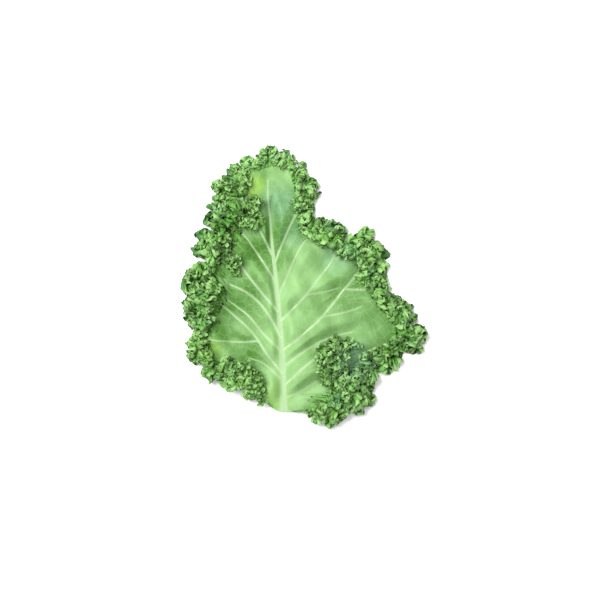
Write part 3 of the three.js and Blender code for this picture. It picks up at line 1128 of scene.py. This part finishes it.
@dataclass(frozen=True)
class LeafFinish:
    """The leaf's skin, by the colours of its parts.

    Attributes:
        blade: Of the open blade.
        blade_mottle_and_shade: Of its darker random mottling, and of the painted shade on it.
        vein: Of the midrib and the side veins.
        frill: Of the frill.
        frill_shade: Of the painted shade in the frill's hollows.
        rim: Of the frill's edges.
        bloom: Of the bluish bloom on the folds.
        bright: Of the yellow-green patches.
        glow: Of the light that comes through.
        translucence: Share of the light that does.
        roughness: Of the skin.
        shine: How strongly it reflects.
        net: The net of veins between the side veins.
        fine_net: The finer net in its cells.
        bump_height: Of the relief of the skin, in metres.
    """

    blade: str = "80ad68"
    blade_mottle_and_shade: str = "3f7416"
    vein: str = "9dba8c"
    frill: str = "5e9739"
    frill_shade: str = "29611d"
    rim: str = "94bf74"
    bloom: str = "709e7a"
    bright: str = "83af32"
    glow: str = "90b85a"
    translucence: float = 0.18
    roughness: float = 0.42
    shine: float = 0.45
    net: Net = Net(150.0, 0.08, 200.0, 0.002)
    fine_net: Net = Net(620.0, 0.1, 700.0, 0.0005)
    bump_height: float = 0.0006

    def material(self) -> bpy.types.Material:
        """Builds the leaf's material.

        Returns:
            The material, which reads the masks and the flat map of the pieces.
        """
        made = Surface("leaf_skin")
        place, flat = made.object_place(), made.flat_place()
        masks = {mask: made.attribute(mask.value) for mask in Mask}
        open_blade = 1 - masks[Mask.FRILL].eased(0.02, 0.35)
        net, fine_net = self.net.lines(made, flat), self.fine_net.lines(made, flat)
        broad, small = made.noise(place, 28.0), made.noise(place, 160.0)
        lines = net * open_blade * 0.28 + fine_net * open_blade * 0.14
        colour = self._colour(made, masks, lines, (broad, made.noise(place, 55.0), small))
        relief = small * 0.3 - net * open_blade * 0.5 - fine_net * 0.25 + broad * 0.3
        height = {"Strength": 0.5, "Distance": self.bump_height, "Height": relief}
        skin = made.node(
            "ShaderNodeBsdfPrincipled",
            {},
            {
                "Base Color": colour,
                "Roughness": self.roughness + 0.2 * small,
                "Specular IOR Level": self.shine,
                "Normal": made.node("ShaderNodeBump", {}, height),
            },
        )
        glow = made.node("ShaderNodeBsdfTranslucent", {}, {"Color": linear(self.glow)})
        return made.finished(made.node("ShaderNodeMixShader", {}, {0: self.translucence, 1: skin, 2: glow}))

    def _colour(
        self, made: Surface, masks: dict[Mask, Value], lines: Value, noises: tuple[Value, Value, Value]
    ) -> Value:
        """Lays the leaf's colours over each other.

        Args:
            made: The surface.
            masks: What the pieces say of each point.
            lines: The nets of fine veins.
            noises: Broad, middling and small noise.

        Returns:
            The colour.
        """
        broad, middling, small = noises
        frill, deep, hollow = masks[Mask.FRILL], masks[Mask.DEEP], masks[Mask.HOLLOW]
        # Darker random mottling from the broad noise, plus painted shade from the shade patches.
        shade = broad.eased(0.4, 0.62) * 0.4 + deep * 0.9
        colour = made.blend(shade, linear(self.blade), self.blade_mottle_and_shade)
        colour = made.blend(frill.eased(0.0, 0.3), colour, self.frill)
        colour = made.blend(masks[Mask.BRIGHT] * 0.8, colour, self.bright)
        bloom = masks[Mask.BLOOM] * (0.35 + 0.5 * small.eased(0.35, 0.65))
        colour = made.blend(bloom, colour, self.bloom)
        patchy = middling.eased(0.52, 0.7) * frill.eased(0.2, 0.6)
        colour = made.blend(patchy * 0.55, colour, self.bloom)
        # Painted shade on the frill: in its hollows, and in the shade patches.
        depth = hollow * 0.75 + deep * frill.eased(0.2, 0.6) * 0.3
        colour = made.blend(depth, colour, self.frill_shade)
        colour = made.blend(masks[Mask.RIM] * 0.7, colour, self.rim)
        colour = made.blend(lines, colour, self.vein)
        return made.blend(masks[Mask.VEIN] * 0.85, colour, self.vein)


@dataclass(frozen=True)
class RibFinish:
    """The midrib and the side veins on the underside.

    Attributes:
        colour: Of the rib.
        streak: Of its faint streaks.
        roughness: Of its skin.
    """

    colour: str = "a5c08a"
    streak: str = "8fae74"
    roughness: float = 0.4

    def material(self) -> bpy.types.Material:
        """Builds the ribs' material.

        Returns:
            The material, with streaks that run along the leaf.
        """
        made = Surface("rib_skin")
        drawn_out = made.vector("MULTIPLY", {0: made.object_place(), 1: (1.0, 0.12, 1.0)})
        streaks = made.noise(drawn_out, 900.0).eased(0.4, 0.65)
        colour = made.blend(streaks, linear(self.colour), self.streak)
        values = {"Base Color": colour, "Roughness": self.roughness}
        return made.finished(made.node("ShaderNodeBsdfPrincipled", {}, values))


def closed_sheet(name: str, face: np.ndarray, back: np.ndarray) -> bpy.types.Mesh:
    """Joins two grids of points into a thin closed solid.

    Args:
        name: Of the mesh.
        face: The upper grid, columns by rows, in metres.
        back: The lower grid, of the same shape.

    Returns:
        The mesh, its vertices the face's and then the back's.
    """
    columns, rows = face.shape[:2]
    count = columns * rows
    ids = np.arange(count).reshape(columns, rows)
    a, b, c, d = ids[:-1, :-1], ids[1:, :-1], ids[1:, 1:], ids[:-1, 1:]
    upper = np.stack([a, d, c, b], -1).reshape(-1, 4)
    under = upper[:, ::-1] + count
    loop = np.concatenate([ids[:, 0][::-1], ids[0, 1:], ids[1:, -1], ids[-1, -2::-1][:-1]])
    turned = np.roll(loop, -1)
    wall = np.stack([loop, loop + count, turned + count, turned], -1)
    quads = np.concatenate([upper, under, wall])
    places = np.concatenate([face.reshape(-1, 3), back.reshape(-1, 3)])
    mesh = bpy.data.meshes.new(name)
    mesh.vertices.add(2 * count)
    mesh.vertices.foreach_set("co", places.astype(np.float32).ravel())
    mesh.loops.add(quads.size)
    mesh.loops.foreach_set("vertex_index", quads.astype(np.int32).ravel())
    mesh.polygons.add(len(quads))
    mesh.polygons.foreach_set("loop_start", np.arange(0, quads.size, 4, dtype=np.int32))
    mesh.polygons.foreach_set("use_smooth", np.ones(len(quads), bool))
    mesh.update(calc_edges=True)
    return mesh


def add_piece(name: str, mesh: bpy.types.Mesh) -> bpy.types.Object:
    """Adds a finished mesh as a piece that stands for the leaf's solid.

    Args:
        name: Of the piece.
        mesh: Its mesh, in the leaf's frame.

    Returns:
        The piece.
    """
    piece = bpy.data.objects.new(name, mesh)
    bpy.context.scene.collection.objects.link(piece)
    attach(piece, BODY)
    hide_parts(LEAF_NODE)
    places = np.empty(3 * len(mesh.vertices), np.float32)
    mesh.vertices.foreach_get("co", places)
    heights = places[2::3] / MM
    faces = len(mesh.polygons)
    LOG.info("%s: %d faces, from %.1f to %.1f mm high", name, faces, heights.min(), heights.max())
    return piece


def dressed(
    name: str,
    sheet: tuple[np.ndarray, np.ndarray],
    half: Numbers,
    relief: Numbers,
    masks: dict[Mask, np.ndarray],
    flat: np.ndarray,
    skin: bpy.types.Material,
) -> bpy.types.Object:
    """Gives a part of the sheet thickness, masks, a flat map and its finish.

    Args:
        name: Of the piece.
        sheet: The grid of points and their unit normals.
        half: Half the thickness at the points, in millimetres.
        relief: How far the face stands out beyond that.
        masks: Values at the points that the finish reads.
        flat: The points' places on the leaf pressed flat.
        skin: The leaf's material.

    Returns:
        The piece.
    """
    points, normals = sheet
    face = placed(points + normals * (half + relief))
    back = placed(points - normals * half)
    for grid in (face, back):
        grid[..., 2] = np.maximum(grid[..., 2], 0)
    mesh = closed_sheet(name, face, back)
    for mask, strengths in masks.items():
        values = np.tile(strengths.astype(np.float32).ravel(), 2)
        mesh.attributes.new(mask.value, "FLOAT", "POINT").data.foreach_set("value", values)
    corners = np.empty(len(mesh.loops), np.int32)
    mesh.loops.foreach_get("vertex_index", corners)
    pressed = np.tile((flat * MM).reshape(-1, 2), (2, 1))[corners]
    mesh.uv_layers.new(name="flat").data.foreach_set("uv", pressed.astype(np.float32).ravel())
    out = np.concatenate([facing(face, normals).reshape(-1, 3), facing(back, -normals).reshape(-1, 3)])
    mesh.normals_split_custom_set_from_vertices(out.tolist())
    mesh.materials.append(skin)
    return add_piece(name, mesh)


def patches(places: np.ndarray, table: tuple[tuple[float, ...], ...]) -> np.ndarray:
    """The strength of soft round patches at places, as seen from above.

    Args:
        places: On the drawn leaf, in millimetres.
        table: Each patch's pixel, radius and strength.

    Returns:
        The strength at each place, from 0 to 1.
    """
    total = np.zeros(places.shape[:-1])
    for x, y, radius, strength in table:
        away = np.linalg.norm(places - np.array(from_pixel(x, y)), axis=-1)
        fade = smooth(PATCH_FADE[0] * radius, PATCH_FADE[1] * radius, away)
        total = np.maximum(total, strength * (1 - fade))
    return total


@dataclass
class Lamina:
    """The blade and the frill, cut from one sheet.

    Attributes:
        sheet: The shaped sheet.
        blade_half: Half the blade's thickness, in millimetres.
        edge_half: Half the thickness at the frill's edge.
        seam_row: Frill row where the blade's piece ends.
        sectors: Number of pieces that the frill is cut into.
        vein_crown: How far a side vein stands above the face.
        rib_crown: How far the midrib stands above the face at the cut.
        rib_fade: Share of the midrib from which its colour fades towards the tip.
        rim_width: Distances from the margin between which its pale rim ends.
        vein_end: Shares of the frill between which the side veins end.
        hollow_top: Shares of the frill's height between which the painted shade of its hollows ends.
        hollow_from: How far into the frill that painted shade starts.
    """

    sheet: Sheet
    blade_half: float = 0.4
    edge_half: float = 0.22
    seam_row: int = 2
    sectors: int = 8
    vein_crown: float = 0.35
    rib_crown: float = 0.8
    rib_fade: float = 0.8
    rim_width: tuple[float, float] = (0.5, 5.0)
    vein_end: tuple[float, float] = (0.2, 0.6)
    hollow_top: tuple[float, float] = (0.2, 0.95)
    hollow_from: tuple[float, float] = (0.25, 0.6)

    def build(self, skin: bpy.types.Material) -> list[bpy.types.Object]:
        """Builds the blade and the frill's pieces.

        Args:
            skin: The leaf's material.

        Returns:
            The pieces.
        """
        self._mark()
        seam = self.sheet.foot_row + self.seam_row
        self._align_seam(seam)
        half, coarse = self.sheet.columns // 2, self.sheet.coarse
        pieces = [
            self._piece("blade_left", slice(0, half + 1, coarse), slice(0, seam + 1), skin),
            self._piece("blade_right", slice(half, None, coarse), slice(0, seam + 1), skin),
        ]
        step = self.sheet.columns // self.sectors
        for k in range(self.sectors):
            part = slice(k * step, (k + 1) * step + 1)
            pieces.append(self._piece(f"frill_{k + 1}", part, slice(seam, None), skin))
        return pieces

    def _mark(self) -> None:
        """Works out the masks that the finish reads at each point of the sheet."""
        sheet = self.sheet
        flat = sheet.flat
        q = np.broadcast_to(sheet.q[None], flat.shape[:2])
        veins = sheet.spread(sheet.veins.mask(flat[:: sheet.coarse])) * (1 - smooth(*self.vein_end, q))
        off = np.linalg.norm(flat - sheet.root[:, None, :2], axis=-1)
        rib = lerp(*sheet.rib_half_width, sheet.share)[:, None]
        fading = 1 - smooth(self.rib_fade, 1.0, sheet.share)
        midrib = (1 - smooth(0.55 * rib, rib, off)) * fading[:, None]
        raised = sheet.points[..., 2] / np.maximum(sheet.lift[:, None], 1)
        # Painted shade in the frill's hollows: strong where the frill sits low, from a little way into it.
        hollow = (1 - smooth(*self.hollow_top, raised)) * smooth(*self.hollow_from, sheet.frilled)
        from_edge = (1 - q) * sheet.frill[:, None]
        above = sheet.points[..., :2]
        self._masks = {
            Mask.FRILL: sheet.frilled,
            Mask.VEIN: np.maximum(veins, midrib),
            Mask.RIM: (1 - smooth(*self.rim_width, from_edge)) * (1 - hollow),
            Mask.HOLLOW: hollow,
            Mask.BLOOM: patches(above, BLOOM_PATCHES),
            # Painted shade patches, where less light falls on the leaf.
            Mask.DEEP: patches(above, SHADE_PATCHES),
            Mask.BRIGHT: patches(above, BRIGHT_PATCHES),
        }
        crown = self.rib_crown * np.sqrt(np.clip(1 - sheet.share, 0, 1))[:, None]
        self._relief = np.maximum(self.vein_crown * veins, crown * (1 - smooth(0.0, 1.15 * rib, off)))

    def _align_seam(self, row: int) -> None:
        """Puts the seam's columns on the straight lines between the blade's.

        Args:
            row: The seam's row.
        """
        step = self.sheet.coarse
        whole = np.arange(self.sheet.columns + 1)
        for grid in (self.sheet.points, self.sheet.normals):
            kept = grid[::step, row]
            grid[:, row] = np.stack([np.interp(whole, whole[::step], kept[:, k]) for k in range(3)], -1)

    def _piece(self, name: str, columns: slice, rows: slice, skin: bpy.types.Material) -> bpy.types.Object:
        """Cuts one piece from the sheet and dresses it.

        Args:
            name: Of the piece.
            columns: Of the sheet that it takes.
            rows: The rows that it takes.
            skin: The leaf's material.

        Returns:
            The piece.
        """
        sheet = self.sheet
        half = lerp(self.blade_half, self.edge_half, smooth(0.1, 1.0, sheet.q[rows][None, :, None]))
        return dressed(
            name,
            (sheet.points[columns, rows], sheet.normals[columns, rows]),
            half,
            self._relief[columns, rows][..., None],
            {mask: strengths[columns, rows] for mask, strengths in self._masks.items()},
            sheet.flat[columns, rows],
            skin,
        )


@dataclass
class Tuft:
    """A ruffle that stands on the leaf where the margin folds back over it.

    Attributes:
        name: Of its piece.
        width: Of the ruffle pressed flat, in millimetres.
        path: Pixels of its foot, with the side that it leans to on the left.
        seed: Start of its waves' random numbers.
        columns: Steps along it.
        rows: Steps from its foot to its edge.
        slopes: Of its foot, middle and edge, in degrees.
        half: Half its thickness.
        sunk: How far its foot is below the leaf's middle surface.
        reach: Of its run and its rise, as a share of its width.
        ends: Its width at its ends, as a share of that in the middle.
        fullness: Power of the sine that its width follows between them, less where it is fuller.
        coarse: Columns from one whose height is measured to the next.
    """

    name: str
    width: float
    path: tuple[tuple[float, float], ...]
    seed: int
    columns: int = 500
    rows: int = 12
    slopes: tuple[float, float, float] = (25.0, 55.0, 84.0)
    half: float = 0.22
    sunk: float = 0.6
    reach: float = 0.62
    ends: float = 0.25
    fullness: float = 0.6
    coarse: int = 20

    def build(self, ground: Ground, skin: bpy.types.Material) -> bpy.types.Object:
        """Builds the ruffle.

        Args:
            ground: What it stands on.
            skin: The leaf's material.

        Returns:
            The piece.
        """
        curve, length = drawn_curve(self.path)
        steps = np.linspace(0, length, self.columns + 1)
        foot = curve(steps)
        heading = unit(np.gradient(foot, axis=0))
        out = np.stack([-heading[:, 1], heading[:, 0]], -1)
        measured = ground.below(foot[:: self.coarse])
        height = np.interp(steps, steps[:: self.coarse], measured) - self.sunk
        q = np.linspace(0, 1, self.rows + 1)
        run, rise = standing(q, self.slopes, 0.5)
        bulge = np.sin(np.pi * (steps / length)) ** self.fullness
        depth = self.width * (self.ends + (1 - self.ends) * bulge)
        reach = self.reach * depth[:, None]
        points = np.zeros((self.columns + 1, self.rows + 1, 3))
        points[..., :2] = foot[:, None] + out[:, None] * (reach * run)[..., None]
        points[..., 2] = height[:, None] + reach * rise
        even = np.ones_like(depth)
        points = Band(q, depth, even, even, self.half, self.seed).gathered(points)
        flat = foot[:, None] + out[:, None] * (depth[:, None] * q)[..., None]
        sheet = (points, directions(points)[2])
        return dressed(self.name, sheet, self.half, 0.0, self._masks(points, q), flat, skin)

    @staticmethod
    def _masks(points: np.ndarray, q: np.ndarray) -> dict[Mask, np.ndarray]:
        """Works out what the finish reads.

        Args:
            points: Of the ruffle, columns by rows.
            q: Each row's share of its width.

        Returns:
            The strength of each mask at the points.
        """
        grid = points.shape[:2]
        above = points[..., :2]
        return {
            Mask.FRILL: np.broadcast_to(0.4 + 0.6 * q, grid),
            Mask.VEIN: np.zeros(grid),
            Mask.RIM: np.broadcast_to(smooth(0.7, 0.97, q), grid),
            # Painted shade at the ruffle's foot, where it stands on the blade.
            Mask.HOLLOW: np.broadcast_to(1 - smooth(0.05, 0.6, q), grid),
            Mask.BLOOM: patches(above, BLOOM_PATCHES),
            Mask.DEEP: np.zeros(grid),
            Mask.BRIGHT: patches(above, BRIGHT_PATCHES),
        }


@dataclass
class Ribs:
    """The midrib's body and the side veins on the underside, swept along their paths.

    Attributes:
        sheet: The shaped sheet, which the ribs follow.
        ground: The same, by place.
        sides: Faces round the midrib.
        vein_sides: Faces round a side vein.
        flatness: The midrib's height over its width.
        steps: Steps along the midrib.
        overlap: How far the midrib's body reaches past the blade's middle, in millimetres.
        vein_depth: How far a side vein's middle is below the blade's.
        vein_width: A side vein's width below the blade, as a share of its width above.
        smoothing: Neighbouring points whose heights are averaged along a side vein, an odd number.
        fewest: Points over the open blade that a side vein needs to be laid.
    """

    sheet: Sheet
    ground: Ground
    sides: int = 20
    vein_sides: int = 10
    flatness: float = 0.66
    steps: int = 90
    overlap: float = 0.2
    vein_depth: float = 0.55
    vein_width: float = 0.95
    smoothing: int = 5
    fewest: int = 4

    def build(self, skin: bpy.types.Material) -> list[bpy.types.Object]:
        """Builds the midrib and the side veins.

        Args:
            skin: The ribs' material.

        Returns:
            The two pieces.
        """
        path, share = self.sheet.midrib_path(self.steps)
        path[:, 2] = (path[:, 2] + self.overlap) / 2
        width = lerp(*self.sheet.rib_half_width, share)
        midrib = self._sweep("midrib", [(path, width)], self.flatness, self.sides, skin)
        return [midrib, self._side_veins(skin)]

    def _side_veins(self, skin: bpy.types.Material) -> bpy.types.Object:
        """Lays the side veins along the blade's underside.

        Args:
            skin: The ribs' material.

        Returns:
            The piece.
        """
        runs = []
        kernel = np.ones(self.smoothing) / self.smoothing
        for path, width in self.sheet.veins.paths:
            heights = np.pad(self.ground.below(path), self.smoothing // 2, mode="edge")
            middle = np.convolve(heights, kernel, mode="valid") - self.vein_depth
            body = np.concatenate([path, np.maximum(middle, width)[:, None]], axis=-1)
            keep = self.ground.in_blade(path)
            if keep.sum() >= self.fewest:
                runs.append((body[keep], (width * self.vein_width)[keep]))
        return self._sweep("side_veins", runs, 1.0, self.vein_sides, skin)

    def _sweep(
        self,
        name: str,
        runs: list[tuple[np.ndarray, np.ndarray]],
        height: float,
        sides: int,
        skin: bpy.types.Material,
    ) -> bpy.types.Object:
        """Sweeps an oval along paths.

        Args:
            name: Of the piece.
            runs: Each path's points in millimetres and the half widths there.
            height: The oval's height over its width.
            sides: Faces round it.
            skin: The material.

        Returns:
            The piece.
        """
        points = np.concatenate([placed(path) for path, _ in runs])
        widths = np.concatenate([width for _, width in runs]) * MM
        edges, start = [], 0
        for path, _ in runs:
            edges += [(start + k, start + k + 1) for k in range(len(path) - 1)]
            start += len(path)
        mesh = bpy.data.meshes.new(name + "_path")
        mesh.from_pydata(points.tolist(), edges, [])
        layer = mesh.attributes.new("half_width", "FLOAT", "POINT")
        layer.data.foreach_set("value", widths.astype(np.float32))
        source = bpy.data.objects.new(name + "_path", mesh)
        bpy.context.scene.collection.objects.link(source)
        tree = SweepTree(name + "_sweep").build()
        modifier = source.modifiers.new("sweep", "NODES")
        modifier.node_group = tree
        inputs = [item for item in tree.interface.items_tree if item.in_out == "INPUT"]
        sockets = {item.name: item.identifier for item in inputs}
        for socket, value in {"Height": height, "Sides": sides, "Material": skin}.items():
            modifier[sockets[socket]] = value
        source.update_tag()
        evaluated = source.evaluated_get(bpy.context.evaluated_depsgraph_get())
        made = bpy.data.meshes.new_from_object(evaluated)
        made.name = name
        bpy.data.objects.remove(source)
        return add_piece(name, made)


@dataclass
class SweepTree:
    """The node tree that sweeps an oval along a path, as wide as the path's own attribute says.

    Attributes:
        name: Of the tree.
    """

    name: str

    def build(self) -> bpy.types.NodeTree:
        """Builds the tree.

        Returns:
            The node tree, with inputs Height, Sides and Material.
        """
        tree = bpy.data.node_groups.new(self.name, "GeometryNodeTree")
        face, nodes = tree.interface, tree.nodes
        kinds = {"Geometry": "Geometry", "Height": "Float", "Sides": "Int", "Material": "Material"}
        for name, kind in kinds.items():
            face.new_socket(name, in_out="INPUT", socket_type="NodeSocket" + kind)
        face.new_socket("Geometry", in_out="OUTPUT", socket_type="NodeSocketGeometry")
        start, end = nodes.new("NodeGroupInput"), nodes.new("NodeGroupOutput")
        width = nodes.new("GeometryNodeInputNamedAttribute")
        width.data_type = "FLOAT"
        width.inputs["Name"].default_value = "half_width"
        path = nodes.new("GeometryNodeMeshToCurve")
        ring = nodes.new("GeometryNodeCurvePrimitiveCircle")
        ring.inputs["Radius"].default_value = 1.0
        scale = nodes.new("ShaderNodeCombineXYZ")
        scale.inputs["X"].default_value = 1.0
        scale.inputs["Z"].default_value = 1.0
        flatten = nodes.new("GeometryNodeTransform")
        sweep = nodes.new("GeometryNodeCurveToMesh")
        sweep.inputs["Fill Caps"].default_value = True
        shade = nodes.new("GeometryNodeSetShadeSmooth")
        realize = nodes.new("GeometryNodeRealizeInstances")
        dress = nodes.new("GeometryNodeSetMaterial")
        for giver, output, taker, entry in (
            (start, "Geometry", path, "Mesh"),
            (start, "Sides", ring, "Resolution"),
            (start, "Height", scale, "Y"),
            (ring, "Curve", flatten, "Geometry"),
            (scale, "Vector", flatten, "Scale"),
            (path, "Curve", sweep, "Curve"),
            (flatten, "Geometry", sweep, "Profile Curve"),
            (width, "Attribute", sweep, "Scale"),
            (sweep, "Mesh", shade, "Geometry"),
            (shade, "Geometry", realize, "Geometry"),
            (realize, "Geometry", dress, "Geometry"),
            (start, "Material", dress, "Material"),
            (dress, "Geometry", end, "Geometry"),
        ):
            tree.links.new(giver.outputs[output], taker.inputs[entry])
        return tree


@dataclass
class Studio:
    """The floor, the soft lights and the camera over the leaf.

    Attributes:
        floor_size: Side of the floor, in metres.
        floor_colour: Of the floor.
        sky: Strength of the light from all round.
        key_power: Of the large soft lamp, in watts.
        key_size: Its diameter, in metres.
        key_place: Where it hangs.
        camera_height: Of the camera over the floor.
        camera_lens: Its focal length, in millimetres.
        camera_sensor: Width of its sensor.
    """

    floor_size: float = 6.0
    floor_colour: str = "fbfbfb"
    sky: float = 0.9
    key_power: float = 17.0
    key_size: float = 0.7
    key_place: tuple[float, float, float] = (-0.4, 0.3, 0.85)
    camera_height: float = 1.5
    camera_lens: float = 100.0
    camera_sensor: float = 36.0

    def build(self) -> None:
        """Builds the floor, the lights and the camera."""
        self._floor()
        self._lights()
        self._camera()

    def _floor(self) -> None:
        """Lays a plain pale floor under the leaf."""
        half = self.floor_size / 2
        mesh = bpy.data.meshes.new("floor")
        corners = [(-half, -half, 0), (half, -half, 0), (half, half, 0), (-half, half, 0)]
        mesh.from_pydata(corners, [], [(0, 1, 2, 3)])
        surface = Surface("floor_white")
        plain = surface.node("ShaderNodeBsdfDiffuse", {}, {"Color": linear(self.floor_colour)})
        mesh.materials.append(surface.finished(plain))
        floor = bpy.data.objects.new("floor", mesh)
        bpy.context.scene.collection.objects.link(floor)

    def _lights(self) -> None:
        """Hangs a large soft lamp up and to the left, and lights the scene evenly all round."""
        world = bpy.data.worlds.new("studio")
        world.use_nodes = True
        backdrop = world.node_tree.nodes["Background"]
        backdrop.inputs["Color"].default_value = (1, 1, 1, 1)
        backdrop.inputs["Strength"].default_value = self.sky
        bpy.context.scene.world = world
        lamp = bpy.data.lights.new("key", "AREA")
        lamp.shape = "DISK"
        lamp.size = self.key_size
        lamp.energy = self.key_power
        key = bpy.data.objects.new("key", lamp)
        key.location = self.key_place
        key.rotation_euler = (-key.location).to_track_quat("-Z", "Y").to_euler()
        bpy.context.scene.collection.objects.link(key)
        bpy.context.scene.view_settings.view_transform = "Standard"

    def _camera(self) -> None:
        """Sets the camera straight above the leaf, as the picture was taken."""
        lens = bpy.data.cameras.new("camera")
        lens.lens = self.camera_lens
        lens.sensor_width = self.camera_sensor
        camera = bpy.data.objects.new("camera", lens)
        spot = placed(np.array([*from_pixel(*PICTURE_CENTRE), 0.0]))
        camera.location = (spot[0], spot[1], self.camera_height)
        camera.rotation_mode = "QUATERNION"
        camera.rotation_quaternion = Quaternion((1, 0, 0, 0))
        bpy.context.scene.collection.objects.link(camera)
        bpy.context.scene.camera = camera


def main() -> None:
    """Builds the leaf and the studio."""
    logging.basicConfig(level=logging.INFO, format="%(name)s: %(message)s")
    skin = LeafFinish().material()
    rib_skin = RibFinish().material()
    sheet = Sheet()
    Lamina(sheet).build(skin)
    ground = Ground(sheet)
    for k, (width, path) in enumerate(TUFTS):
        Tuft(f"tuft_{k + 1}", width, path, 11 + k).build(ground, skin)
    Ribs(sheet, ground).build(rib_skin)
    Studio().build()


if __name__ == "__main__":
    main()
